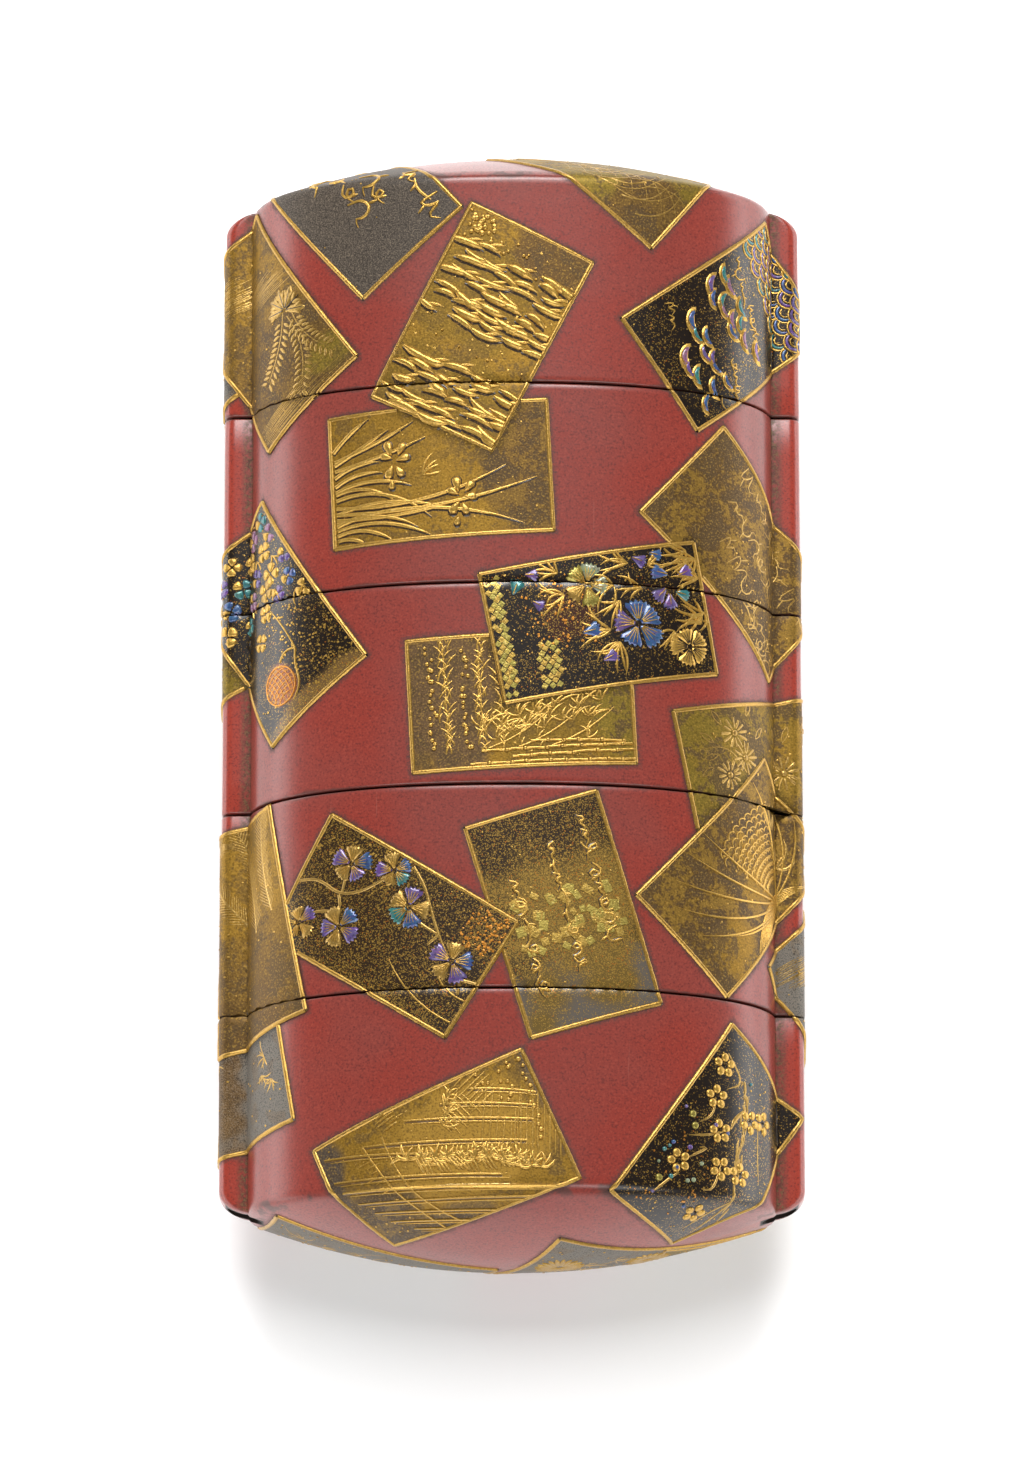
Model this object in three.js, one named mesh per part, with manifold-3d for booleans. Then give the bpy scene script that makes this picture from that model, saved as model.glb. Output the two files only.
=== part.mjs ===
// A five-part inro, a small lacquer case worn at the belt, lying on its back.
// Sizes are millimetres: X is the width, Y the inro's height with the lid towards +Y,
// and Z the depth. The origin is under the middle of the case, where its back rests.
//
// The lid and the four cases stack on raised lips. Every piece is one oval tube that a
// slab cuts out of the same outer form, so the oval, the side runners, the domed ends
// and the two cord channels line up from the lid to the bottom case.

import * as THREE from 'three';
import { mergeVertices } from 'three/addons/utils/BufferGeometryUtils.js';
import Module from 'manifold-3d';

const wasm = await Module();
wasm.setup();

// ---- Driving dimensions -------------------------------------------------------------

// The outer form
const WIDTH = 50;            // over both side runners
const BODY_WIDTH = 45.4;     // the oval body, whose ends are buried in the runners
const BODY_DEPTH = 24.4;     // front to back
const OVAL_POWER = 2.15;     // 2 is a plain ellipse, and more has fuller shoulders
const BACK_FLAT = 0.12;      // shaved off the back, a strip 7 mm wide to lie on
const DOME = 4.4;            // rise of both domed ends above their ridges

// The side runners, which carry the cord channels
const RUNNER_DEPTH = 3.4;
const RUNNER_ROUND = 1.0;    // rounding along the runner's edges
const RUNNER_CORNER = 2.4;   // corner radius, seen from the front
const CHANNEL_WIDTH = 3.0;
const CHANNEL_DEPTH = 1.7;
const CHANNEL_X = 22.8;      // from the middle of the case

// The pieces along Y
const LID_HEIGHT = 18.8;     // from its ridge to the first seam
const CASE_PITCH = 17.85;    // seam to seam, for the three middle cases
const BOTTOM_HEIGHT = 17.25; // from the last seam to the bottom ridge
const SEAM_GAP = 0.2;

// Walls, lips and floors
const SIDE_WALL = 2.65;      // from the end of the oval to the socket, past the channel
const FACE_WALL = 1.7;       // front and back, at the socket
const END_WALL = 1.8;        // under the domed ends
const LIP_GAP = 0.3;         // round the lip, inside the socket that takes it
const LIP_WALL = 0.8;
const LIP_HEIGHT = 3.6;
const FLOOR = 1.5;

// ---- Sizes worked out from them -----------------------------------------------------

const MIDDLE_CASES = 3;
const RIDGE_TO_RIDGE = LID_HEIGHT + MIDDLE_CASES * CASE_PITCH + BOTTOM_HEIGHT;
const TOP_RIDGE = RIDGE_TO_RIDGE / 2;
const BOTTOM_RIDGE = -TOP_RIDGE;
const HALF_WIDTH = BODY_WIDTH / 2;
const HALF_DEPTH = BODY_DEPTH / 2;
const MIDDLE_Z = HALF_DEPTH - BACK_FLAT;  // height of the case's axis above its back
const SOCKET_DEPTH = LIP_HEIGHT + 0.4;
const CLEAR = 1;                          // how far a cutter runs past what it cuts

// ---- Shapes -------------------------------------------------------------------------

const OVAL_STEPS = 64;
const DOME_RINGS = [0, 0.3, 0.52, 0.72, 0.9, 1.3];  // parts of the oval's size

// An oval across the case, as a shape in X and Z. Its lowest part is cut level.
function oval(halfWidth, halfDepth, lowest = -Infinity) {
  const points = [];
  for (let i = 0; i < OVAL_STEPS; i += 1) {
    const angle = (2 * Math.PI * (i + 0.5)) / OVAL_STEPS;
    const x = Math.sign(Math.cos(angle)) * Math.abs(Math.cos(angle)) ** (2 / OVAL_POWER);
    const z = Math.sign(Math.sin(angle)) * Math.abs(Math.sin(angle)) ** (2 / OVAL_POWER);
    points.push(new THREE.Vector2(halfWidth * x, Math.max(halfDepth * z, lowest)));
  }
  return new THREE.Shape(points);
}

// The oval drawn in by a wall at the sides and another at the front and back.
function innerOval(extraWall) {
  return oval(HALF_WIDTH - SIDE_WALL - extraWall, HALF_DEPTH - FACE_WALL - extraWall);
}

const bodyOval = oval(HALF_WIDTH, HALF_DEPTH, BACK_FLAT - HALF_DEPTH);
const socketOval = innerOval(0);
const lipOval = innerOval(LIP_GAP);
const roomOval = innerOval(LIP_GAP + LIP_WALL);

// A rectangle with round corners, centred on zero.
function roundedRectangle(width, height, radius) {
  const x = width / 2 - radius;
  const y = height / 2 - radius;
  const shape = new THREE.Shape();
  shape.absarc(x, y, radius, 0, Math.PI / 2);
  shape.absarc(-x, y, radius, Math.PI / 2, Math.PI);
  shape.absarc(-x, -y, radius, Math.PI, 1.5 * Math.PI);
  shape.absarc(x, -y, radius, 1.5 * Math.PI, 2 * Math.PI);
  return shape;
}

// ---- Solids -------------------------------------------------------------------------

// A closed geometry as a solid: shared corners are merged, and the triangles that
// close up to nothing at a pole are dropped.
function solid(geometry) {
  const bare = geometry.clone();
  bare.deleteAttribute('normal');
  bare.deleteAttribute('uv');
  const merged = mergeVertices(bare, 1e-4);
  const index = merged.index.array;
  const triangles = [];
  for (let i = 0; i < index.length; i += 3) {
    const [a, b, c] = index.slice(i, i + 3);
    if (a !== b && b !== c && c !== a) triangles.push(a, b, c);
  }
  return new wasm.Manifold(new wasm.Mesh({
    numProp: 3,
    vertProperties: new Float32Array(merged.attributes.position.array),
    triVerts: new Uint32Array(triangles),
  }));
}

// An outline across the case, run from one height of the inro to another.
function run(outline, fromY, toY, curveSegments = 6) {
  const geometry = new THREE.ExtrudeGeometry(outline, {
    depth: toY - fromY,
    bevelEnabled: false,
    curveSegments,
  });
  geometry.rotateX(Math.PI / 2);
  geometry.translate(0, toY, MIDDLE_Z);
  return solid(geometry);
}

// Everything between two heights of the inro.
function slab(fromY, toY) {
  const geometry = new THREE.BoxGeometry(2 * WIDTH, toY - fromY, 4 * BODY_DEPTH);
  geometry.translate(0, (fromY + toY) / 2, MIDDLE_Z);
  return solid(geometry);
}

// The space between both domed ends, drawn in by the wall that they have.
function betweenDomes(wall) {
  const ridge = TOP_RIDGE - wall;
  const top = DOME_RINGS.map((ring) => new THREE.Vector2(ring, ridge + DOME * (1 - ring ** 2)));
  const bottom = top.map((point) => new THREE.Vector2(point.x, -point.y));
  const profile = [...bottom, ...top.reverse()];
  const geometry = new THREE.LatheGeometry(profile, OVAL_STEPS);
  geometry.scale(HALF_WIDTH, 1, HALF_DEPTH);
  geometry.translate(0, 0, MIDDLE_Z);
  return solid(geometry);
}

// The flat plate whose two edges stand out of the oval as the runners.
function runners() {
  const geometry = new THREE.ExtrudeGeometry(
    roundedRectangle(WIDTH, RIDGE_TO_RIDGE, RUNNER_CORNER),
    {
      depth: RUNNER_DEPTH - 2 * RUNNER_ROUND,
      bevelThickness: RUNNER_ROUND,
      bevelSize: RUNNER_ROUND,
      bevelOffset: -RUNNER_ROUND,
      bevelSegments: 3,
      curveSegments: 5,
    },
  );
  geometry.translate(0, 0, MIDDLE_Z - RUNNER_DEPTH / 2 + RUNNER_ROUND);
  return solid(geometry);
}

// A cord channel, straight through every piece. It is a slot with round ends.
function channel(side) {
  const outline = roundedRectangle(CHANNEL_WIDTH, CHANNEL_DEPTH, CHANNEL_DEPTH / 2 - 0.01);
  const through = TOP_RIDGE + DOME + CLEAR;
  return run(outline, -through, through, 4).translate([side * CHANNEL_X, 0, 0]);
}

// ---- The pieces ---------------------------------------------------------------------

const reach = TOP_RIDGE + DOME;
const outerForm = run(bodyOval, -reach, reach)
  .add(runners())
  .intersect(betweenDomes(0))
  .subtract(channel(1).add(channel(-1)));
const insideEnds = betweenDomes(END_WALL);

// The stretch of the outer form between two seams.
function stretch(fromY, toY) {
  return outerForm.intersect(slab(fromY, toY));
}

// The raised lip that a case holds up into the piece above it.
function lip(seamY) {
  return run(lipOval, seamY - FLOOR, seamY + LIP_HEIGHT);
}

// The lid is all socket inside, up to the wall of its dome.
function lid(seamY) {
  const hollow = run(socketOval, seamY - CLEAR, reach).intersect(insideEnds);
  return stretch(seamY + SEAM_GAP / 2, reach).subtract(hollow);
}

// A middle case has a socket below, a floor across, and a room that opens at its lip.
function middleCase(lowSeam, highSeam) {
  const floorTop = lowSeam + SOCKET_DEPTH + FLOOR;
  const socket = run(socketOval, lowSeam - CLEAR, lowSeam + SOCKET_DEPTH);
  const room = run(roomOval, floorTop, highSeam + LIP_HEIGHT + CLEAR);
  return stretch(lowSeam + SEAM_GAP / 2, highSeam - SEAM_GAP / 2)
    .add(lip(highSeam))
    .subtract(socket)
    .subtract(room);
}

// The bottom case has the same room, down to the wall of the bottom dome.
function bottomCase(seamY) {
  const room = run(roomOval, -reach, seamY + LIP_HEIGHT + CLEAR).intersect(insideEnds);
  return stretch(-reach, seamY - SEAM_GAP / 2).add(lip(seamY)).subtract(room);
}

const seams = [0, 1, 2, 3].map((i) => TOP_RIDGE - LID_HEIGHT - i * CASE_PITCH);

const pieces = {
  lid: lid(seams[0]),
  upper_case: middleCase(seams[1], seams[0]),
  second_case: middleCase(seams[2], seams[1]),
  third_case: middleCase(seams[3], seams[2]),
  bottom_case: bottomCase(seams[3]),
};

// ---- The model ----------------------------------------------------------------------

// A solid as a geometry with flat faces.
function faceted(piece) {
  const mesh = piece.getMesh();
  const geometry = new THREE.BufferGeometry();
  geometry.setAttribute('position', new THREE.BufferAttribute(mesh.vertProperties, 3));
  geometry.setIndex(new THREE.BufferAttribute(mesh.triVerts, 1));
  geometry.computeVertexNormals();
  return geometry;
}

const inro = new THREE.Group();
inro.name = 'inro';

for (const [name, piece] of Object.entries(pieces)) {
  const redLacquer = new THREE.MeshStandardMaterial({
    color: 0x7d2a22,
    roughness: 0.3,
    metalness: 0,
    flatShading: true,
  });
  const mesh = new THREE.Mesh(faceted(piece), redLacquer);
  mesh.name = name;
  inro.add(mesh);
}

export default inro;
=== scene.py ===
# %% [markdown]
# # A lacquer inro lying on its back
#
# An inro is a small case that was worn at the belt. A lid and four cases stack on raised
# lips, and a cord runs through a channel down each side of them all. The five pieces were
# turned up from thin wood, then coated with many layers of red lacquer, rubbed smooth and
# decorated with gold powder, black lacquer and bits of shell.
#
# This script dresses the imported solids. It first models the five hollow pieces smoothly,
# then lays the picture cards on their skin, and last makes the finishes and the studio.

# %% Load the frame
import math
import random

import bpy
import numpy as np
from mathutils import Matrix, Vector
from mathutils.bvhtree import BVHTree
from mathutils.kdtree import KDTree


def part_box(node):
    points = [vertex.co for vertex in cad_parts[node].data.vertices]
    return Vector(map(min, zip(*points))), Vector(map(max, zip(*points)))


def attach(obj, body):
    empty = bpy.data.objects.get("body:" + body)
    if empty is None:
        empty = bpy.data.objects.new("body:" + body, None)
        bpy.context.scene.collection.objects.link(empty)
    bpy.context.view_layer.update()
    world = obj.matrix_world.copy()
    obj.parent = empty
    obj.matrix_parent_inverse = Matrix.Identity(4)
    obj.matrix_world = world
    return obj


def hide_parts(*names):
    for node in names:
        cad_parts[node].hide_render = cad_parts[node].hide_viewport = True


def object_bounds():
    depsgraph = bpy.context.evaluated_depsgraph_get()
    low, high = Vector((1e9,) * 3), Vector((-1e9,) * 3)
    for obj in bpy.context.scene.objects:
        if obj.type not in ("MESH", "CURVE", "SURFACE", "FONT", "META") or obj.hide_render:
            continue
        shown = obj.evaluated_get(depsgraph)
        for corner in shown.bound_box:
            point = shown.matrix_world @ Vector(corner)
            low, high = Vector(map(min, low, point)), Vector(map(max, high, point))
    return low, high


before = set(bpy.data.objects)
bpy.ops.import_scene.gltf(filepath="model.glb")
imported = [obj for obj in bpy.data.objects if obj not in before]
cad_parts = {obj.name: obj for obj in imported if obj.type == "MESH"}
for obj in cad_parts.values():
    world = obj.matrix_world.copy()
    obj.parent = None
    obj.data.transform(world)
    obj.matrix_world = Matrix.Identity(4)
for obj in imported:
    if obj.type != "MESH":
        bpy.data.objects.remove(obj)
cad_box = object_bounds()
PIECES = ["lid", "upper_case", "second_case", "third_case", "bottom_case"]
print("pieces:", ", ".join(PIECES), "- box:", [round(side * 1000, 1) for side in cad_box[1]])

# %% [markdown]
# ## Sizes
#
# Everything is in metres and follows from the frame's own boxes: the width over the side
# runners, the depth, the seams between the pieces and the height over the domed ends.
# The few sizes that a box can't show, such as the wall and the lip, are given here as a
# maker would give them, in millimetres.

# %% Sizes of the case
MM = 0.001
low, high = cad_box
RUNNER_X = high.x                       # the outer edge of a side runner
DOME = 4.4 * MM                         # rise of each end above its ridge
TOP_RIDGE = high.y - DOME
BOTTOM_RIDGE = -TOP_RIDGE
OVAL_X = 22.7 * MM                      # half the width of the oval body
OVAL_Z = 12.2 * MM                      # half its depth
BACK_Z = 12.08 * MM                     # from the axis to the narrow flat on the back
AXIS_Z = low.z + BACK_Z
POWER = 2.15                            # 2 would be a plain ellipse
RUNNER_Z = 1.7 * MM                     # half the thickness of a runner
RUNNER_ROUND = 1.0 * MM
RUNNER_CORNER = (3.0 * MM, 2.1 * MM)    # how far an end is rounded off, across and along
CHANNEL_X = 22.8 * MM
CHANNEL = (1.5 * MM, 0.85 * MM)         # half sizes of the cord's channel
SEAM_GAP = 0.2 * MM
SEAM_ROUND = 0.16 * MM
RIDGE_ROUND = 0.5 * MM
SOCKET = (20.05 * MM, 10.5 * MM)        # half sizes of the inner ovals
LIP = (19.75 * MM, 10.2 * MM)
ROOM = (18.95 * MM, 9.4 * MM)
LIP_HEIGHT = 3.6 * MM
SOCKET_DEPTH = 4.0 * MM
FLOOR = 1.5 * MM
END_WALL = 1.8 * MM

SEAMS = [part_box(name)[0].y - SEAM_GAP / 2 for name in PIECES[:4]]
print("seams at", [round(y / MM, 2) for y in SEAMS], "mm, ridges at", round(TOP_RIDGE / MM, 2))

# %% [markdown]
# ## The girth
#
# Across the case the outline is an oval with slightly full shoulders, and a thin flat
# runner on each side. One walk round that outline serves two purposes. It gives the oval's
# points, and it measures the girth, so that a flat picture card can later be wrapped onto
# the case as a sheet of paper would be: `u` is the distance round from the middle of the
# front and `v` the height on the case.

# %% Walk round the outline
def oval_curve(steps):
    """A quarter of the oval, from the middle of the front to the side."""
    angle = np.linspace(np.pi / 2, 0, steps)
    return (OVAL_X * np.abs(np.cos(angle)) ** (2 / POWER),
            OVAL_Z * np.abs(np.sin(angle)) ** (2 / POWER))


def arc_length(x, z):
    return np.concatenate([[0], np.cumsum(np.hypot(np.diff(x), np.diff(z)))])


oval_x, oval_z = oval_curve(6001)
above = oval_z > RUNNER_Z
turn = np.linspace(0, np.pi / 2, 9)
girth_x = np.concatenate([oval_x[above], RUNNER_X - RUNNER_ROUND * (1 - np.sin(turn)), [RUNNER_X]])
girth_z = np.concatenate([oval_z[above], RUNNER_Z - RUNNER_ROUND * (1 - np.cos(turn)), [0]])
girth_u = arc_length(girth_x, girth_z)
HALF_FRONT = girth_u[-1]               # from the middle of the front to the side
GROOVE_U = girth_u[above.sum() - 1]    # where the runner stands out of the oval
GIRTH = 4 * HALF_FRONT / MM            # once round the case, in millimetres
print(f"girth {GIRTH:.1f} mm, groove at {GROOVE_U / MM:.1f} mm from the middle")


# %% [markdown]
# ## The five hollow pieces
#
# A real inro piece is a ring of wood. It is modelled the same way: a ring of edges is
# extruded along a path, and drawn in or let out at every stop, so that it makes in turn the
# socket underneath, the rounded seam edge, the outer wall, the raised lip and the room.
# Extruding one ring keeps every wall at its true thickness and the surface smooth, where
# a block with a hole cut in it would need repairs at each edge.

# %% Tools for modelling by hand
def deselect():
    if bpy.context.object and bpy.context.object.mode != "OBJECT":
        bpy.ops.object.mode_set(mode="OBJECT")
    bpy.ops.object.select_all(action="DESELECT")


def select_only(piece):
    deselect()
    piece.select_set(True)
    bpy.context.view_layer.objects.active = piece


def apply_modifier(piece, kind, **settings):
    select_only(piece)
    modifier = piece.modifiers.new(kind.title(), kind)
    for key, value in settings.items():
        setattr(modifier, key, value)
    bpy.ops.object.modifier_apply(modifier=modifier.name)


def face_outwards():
    """Closes the work on a mesh: every face looks outwards, and edit mode ends."""
    bpy.ops.mesh.select_all(action="SELECT")
    bpy.ops.mesh.normals_make_consistent(inside=False)
    bpy.ops.object.mode_set(mode="OBJECT")


def ring(name, points, y):
    """A closed ring of edges across the case, made from a circle whose points are slid."""
    deselect()
    bpy.ops.mesh.primitive_circle_add(vertices=len(points), radius=OVAL_X, fill_type="NGON")
    piece = bpy.context.object
    piece.name = piece.data.name = name
    for vertex, (x, z) in zip(piece.data.vertices, points):
        vertex.co = (x, y, AXIS_Z + z)
    bpy.ops.object.mode_set(mode="EDIT")
    bpy.ops.mesh.select_mode(type="EDGE")
    bpy.ops.mesh.select_all(action="SELECT")
    return piece


def extrude_ring(stops, about_x=0.0):
    """Carries the selected ring on through the stops: half width, half depth and height."""
    for (width, depth, y), (new_width, new_depth, new_y) in zip(stops, stops[1:]):
        bpy.ops.mesh.extrude_edges_move(TRANSFORM_OT_translate={"value": (0, new_y - y, 0)})
        if (new_width, new_depth) != (width, depth):
            bpy.ops.transform.resize(value=(new_width / width, 1, new_depth / depth),
                                     center_override=(about_x, new_y, AXIS_Z))
    bpy.ops.mesh.edge_face_add()
    face_outwards()


# %% Stops that the rings make on their way
RING_STEPS = 320
ROW = 0.36 * MM                        # height of one row of faces on the outer wall
ARC = [0.0, 0.3, 0.6, 1.0]             # stops round a small rounded edge


def oval_ring_points(width, depth):
    """Evenly spaced points round an oval of these half sizes."""
    x, z = oval_curve(4001)
    x, z = np.concatenate([x, x[-2::-1]]), np.concatenate([z, -z[-2::-1]])
    x, z = np.concatenate([x, -x[-2:0:-1]]), np.concatenate([z, z[-2:0:-1]])
    length = arc_length(x, z)
    even = np.linspace(0, length[-1], RING_STEPS, endpoint=False)
    return list(zip(np.interp(even, length, x) * width / OVAL_X,
                    np.interp(even, length, z) * depth / OVAL_Z))


def drawn_in(inset, y):
    return (OVAL_X - inset, OVAL_Z - inset, y)


def rounded_edge(y, inwards):
    """The small round edge of a seam. inwards is +1 where the wall lies above the seam."""
    return [drawn_in(SEAM_ROUND * (1 - math.sin(part * math.pi / 2)),
                     y + inwards * SEAM_ROUND * (1 - math.cos(part * math.pi / 2))) for part in ARC]


def wall_rows(low_y, high_y):
    rows = int((high_y - low_y) / ROW)
    return [drawn_in(0, low_y + (high_y - low_y) * row / rows) for row in range(1, rows)]


def dome_height(part):
    """Height above the ridge, for a ring that is this part of the oval's size."""
    return DOME * (1 - part ** 2)


# How far the ridge is drawn in and how high it stands, stop by stop
RIDGE_STOPS = [(0, -RIDGE_ROUND), (0.05 * MM, -0.22 * MM), (0.16 * MM, -0.02 * MM), (0.34 * MM, 0.16 * MM)]


def dome_stops(sign):
    """From the wall, over the softly rounded ridge, to the middle of a domed end."""
    ridge = [(OVAL_X - inset, OVAL_Z - inset, sign * (TOP_RIDGE + rise)) for inset, rise in RIDGE_STOPS]
    parts = np.linspace(0.955, 0.02, 34)
    return ridge + [(OVAL_X * part, OVAL_Z * part, sign * (TOP_RIDGE + dome_height(part)))
                    for part in parts]


def inner_dome_stops(size, sign):
    """The hollow under a domed end, from its middle out to the wall of this inner oval."""
    return [(size[0] * part, size[1] * part,
             sign * (TOP_RIDGE - END_WALL + dome_height(part * 0.87))) for part in np.linspace(0.03, 1, 12)]


def lip_stops(seam):
    """Up the lip, over it and down into the room."""
    top = seam + LIP_HEIGHT
    soft = 0.15 * MM
    return [(*LIP, seam - SEAM_GAP / 2), (*LIP, top - soft), (LIP[0] - soft, LIP[1] - soft, top),
            (ROOM[0] + soft, ROOM[1] + soft, top), (*ROOM, top - soft)]


# %% Model each piece from its stops
def piece_stops(index):
    low_edge = SEAMS[index] + SEAM_GAP / 2 if index < 4 else None
    high_edge = SEAMS[index - 1] - SEAM_GAP / 2 if index > 0 else None
    underside = [] if low_edge is None else [(*SOCKET, low_edge), *rounded_edge(low_edge, 1)]
    if index == 0:
        rows = wall_rows(low_edge + SEAM_ROUND, TOP_RIDGE - RIDGE_ROUND)
        return inner_dome_stops(SOCKET, 1) + underside + rows + dome_stops(1)
    seam = SEAMS[index - 1]
    top_side = rounded_edge(high_edge, -1)[::-1] + lip_stops(seam)
    if index == 4:
        rows = wall_rows(BOTTOM_RIDGE + RIDGE_ROUND, high_edge - SEAM_ROUND)
        return dome_stops(-1)[::-1] + rows + top_side + inner_dome_stops(ROOM, -1)[::-1]
    rows = wall_rows(low_edge + SEAM_ROUND, high_edge - SEAM_ROUND)
    ceiling = SEAMS[index] + SOCKET_DEPTH
    return [(*SOCKET, ceiling)] + underside + rows + top_side + [(*ROOM, ceiling + FLOOR)]


def model_piece(index):
    stops = piece_stops(index)
    piece = ring(f"{PIECES[index]}_lacquer", oval_ring_points(*stops[0][:2]), stops[0][2])
    extrude_ring(stops)
    for vertex in piece.data.vertices:
        vertex.co.z = max(vertex.co.z, AXIS_Z - BACK_Z)    # rubbed flat where it lies
    return piece


shells = [model_piece(index) for index in range(5)]
print("faces:", {shell.name: len(shell.data.polygons) for shell in shells})

# %% [markdown]
# ## Runners and cord channels
#
# Each side has a thin flat runner, and the cord's channel is drilled down through it where
# it meets the oval. A runner is a flat slip of wood let into the side, so it is modelled as
# a slip of its own, rounded along its outer edge, and joined to the oval with a Boolean
# modifier. The channel is then cut out with a slip of the channel's shape.

# %% Add the runners and drill the channels
RUNNER_FOOT = 21.0 * MM                # the runner starts inside the wall


def slip_points():
    """Round the section of the right-hand runner."""
    x = RUNNER_X - RUNNER_ROUND * (1 - np.sin(turn))
    z = RUNNER_Z - RUNNER_ROUND * (1 - np.cos(turn))
    flat = np.linspace(RUNNER_FOOT, x[0], 10)[:-1]
    front = list(zip(flat, [RUNNER_Z] * len(flat))) + list(zip(x, z))
    return front + [(px, -pz) for px, pz in reversed(front)]


def slip_stops(low_y, high_y):
    """The slip's stops. Its ends are drawn in: a little at a seam, roundly at a ridge."""
    width = RUNNER_X - RUNNER_FOOT
    stops = []
    for y, sign in ((low_y, -1), (high_y, 1)):
        if abs(y) < TOP_RIDGE - MM:
            end = [(width - SEAM_ROUND * (1 - math.sin(part * math.pi / 2)),
                    RUNNER_Z - SEAM_ROUND * (1 - math.sin(part * math.pi / 2)),
                    y - sign * SEAM_ROUND * (1 - math.cos(part * math.pi / 2))) for part in ARC]
        else:
            end = []
            for part in np.linspace(0.06, 1, 13):
                angle = part * math.pi / 2
                end.append((width - RUNNER_CORNER[0] * (1 - math.sin(angle)),
                            RUNNER_Z - 0.3 * MM * max(0, 1 - 4 * part),
                            y - sign * RUNNER_CORNER[1] * (1 - math.cos(angle))))
        if sign < 0:
            rows = int((high_y - low_y) / ROW)
            stops = end + [(width, RUNNER_Z, low_y + (high_y - low_y) * row / rows)
                           for row in range(8, rows - 8)]
        else:
            stops += end[::-1]
    return stops


def stadium(width, depth, points=24):
    """Round a slot with round ends."""
    angle = np.arange(points) * 2 * np.pi / points
    x = np.cos(angle) * depth / 2
    return list(zip(CHANNEL_X + x + np.sign(x) * (width - depth) / 2, np.sin(angle) * depth / 2))


def mirrored(piece):
    """A copy on the other side of the case."""
    select_only(piece)
    bpy.ops.object.duplicate()
    twin = bpy.context.object
    bpy.ops.transform.resize(value=(-1, 1, 1), center_override=(0, 0, 0))
    bpy.ops.object.transform_apply(location=True, rotation=True, scale=True)
    bpy.ops.object.mode_set(mode="EDIT")
    face_outwards()
    return twin


def carve(piece, tool, operation):
    """Joins a tool to the piece or cuts it out on both sides, and puts the tool away."""
    for cutter in (tool, mirrored(tool)):
        apply_modifier(piece, "BOOLEAN", object=cutter, operation=operation, solver="EXACT")
        bpy.data.objects.remove(cutter)


def add_runners(piece, low_y, high_y):
    stops = slip_stops(low_y, high_y)
    shrink = stops[0][0] / (RUNNER_X - RUNNER_FOOT)
    points = [(RUNNER_FOOT + (x - RUNNER_FOOT) * shrink, z * stops[0][1] / RUNNER_Z)
              for x, z in slip_points()]
    slip = ring("slip", points, stops[0][2])
    extrude_ring(stops, about_x=RUNNER_FOOT)
    carve(piece, slip, "UNION")


def drill_channels(piece, low_y, high_y):
    """The channel, drilled right through with room to spare at both ends."""
    (wide, deep), reach = CHANNEL, 6 * MM
    stops = [(wide, deep, low_y - reach), (wide, deep, high_y + reach)]
    drill = ring("drill", stadium(2 * wide, 2 * deep), stops[0][2])
    extrude_ring(stops, about_x=CHANNEL_X)
    carve(piece, drill, "DIFFERENCE")


SHELL_ANGLE = math.radians(38)         # sharper edges than this stay crisp
edges = [TOP_RIDGE] + SEAMS + [BOTTOM_RIDGE]
for shell, high_y, low_y in zip(shells, edges, edges[1:]):
    at_seams = (low_y + (SEAM_GAP / 2 if low_y > BOTTOM_RIDGE else 0),
                high_y - (SEAM_GAP / 2 if high_y < TOP_RIDGE else 0))
    add_runners(shell, *at_seams)
    drill_channels(shell, *at_seams)
    select_only(shell)
    bpy.ops.object.shade_smooth_by_angle(angle=SHELL_ANGLE)
print("with runners:", {shell.name: len(shell.data.polygons) for shell in shells})

# %% [markdown]
# ## Where the picture cards lie
#
# The decoration is a scatter of small picture cards, as if poem cards had been dropped on
# the case. All are about one size, and they run over the seams, the side runners and the ridges.
# A maker would lay paper patterns on the lacquer and turn them until the scatter pleases.
# The list gives each card the place of its middle on the unrolled skin, how
# far it is turned, and what is painted on it. A later card lies on top of an earlier one.

# %% The scatter
CARD = (19.5, 12.05)                   # millimetres
BORDER = 0.42                          # width of its gold edge
FAR = 9.0                              # stands for no card near

# name, u, v, turn in degrees, ground, picture
FRONT = [
    ("under_spray", -36.3, 29.6, 33, "grey", "faint_sprigs"),
    ("spray", -24.1, 32.9, -52, "streaked", "leaf_spray"),
    ("charcoal", -15.1, 45.1, -48, "charcoal", "script_large"),
    ("iris", -6.3, 18.1, 3, "gold", "iris"),
    ("waves", -2.6, 31.0, 63, "gold", "wave_clumps"),
    ("grass_top", 8.6, 49.2, -40, "olive", "fine_grass"),
    ("faint_script", 22.1, 12.5, -43, "brown", "script_faint"),
    ("scales", 20.7, 32.9, 36, "night", "scales"),
    ("reeds", 0.8, -2.3, 3, "gold", "reeds"),
    ("pinks", 7.7, 4.9, 11, "night", "pinks"),
    ("under_basket", -34.9, 8.3, -62, "olive", "faint_sprigs"),
    ("basket", -23.0, 6.4, -54, "night", "night_flowers"),
    ("mums", 24.6, -6.4, 12.5, "mottled", "mums"),
    ("grey_leaf", 35.4, -26.9, -48, "grey", "leaf_spray"),
    ("sheaf", 21.5, -16.4, 46, "brown", "sheaf"),
    ("verse", 4.4, -21.1, -73, "zones", "script"),
    ("branch", -10.7, -21.8, -32, "dusk", "branch_pinks"),
    ("sprigs", -27.1, -29.8, -78, "grey", "sprigs"),
    ("fern", -26.0, -20.6, -77, "streaked", "fern"),
    ("bridge", -5.8, -42.5, 24, "gold", "bridge", 0, 1.035),
    ("plum", 18.7, -40.8, 54, "night", "plum"),
]
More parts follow.
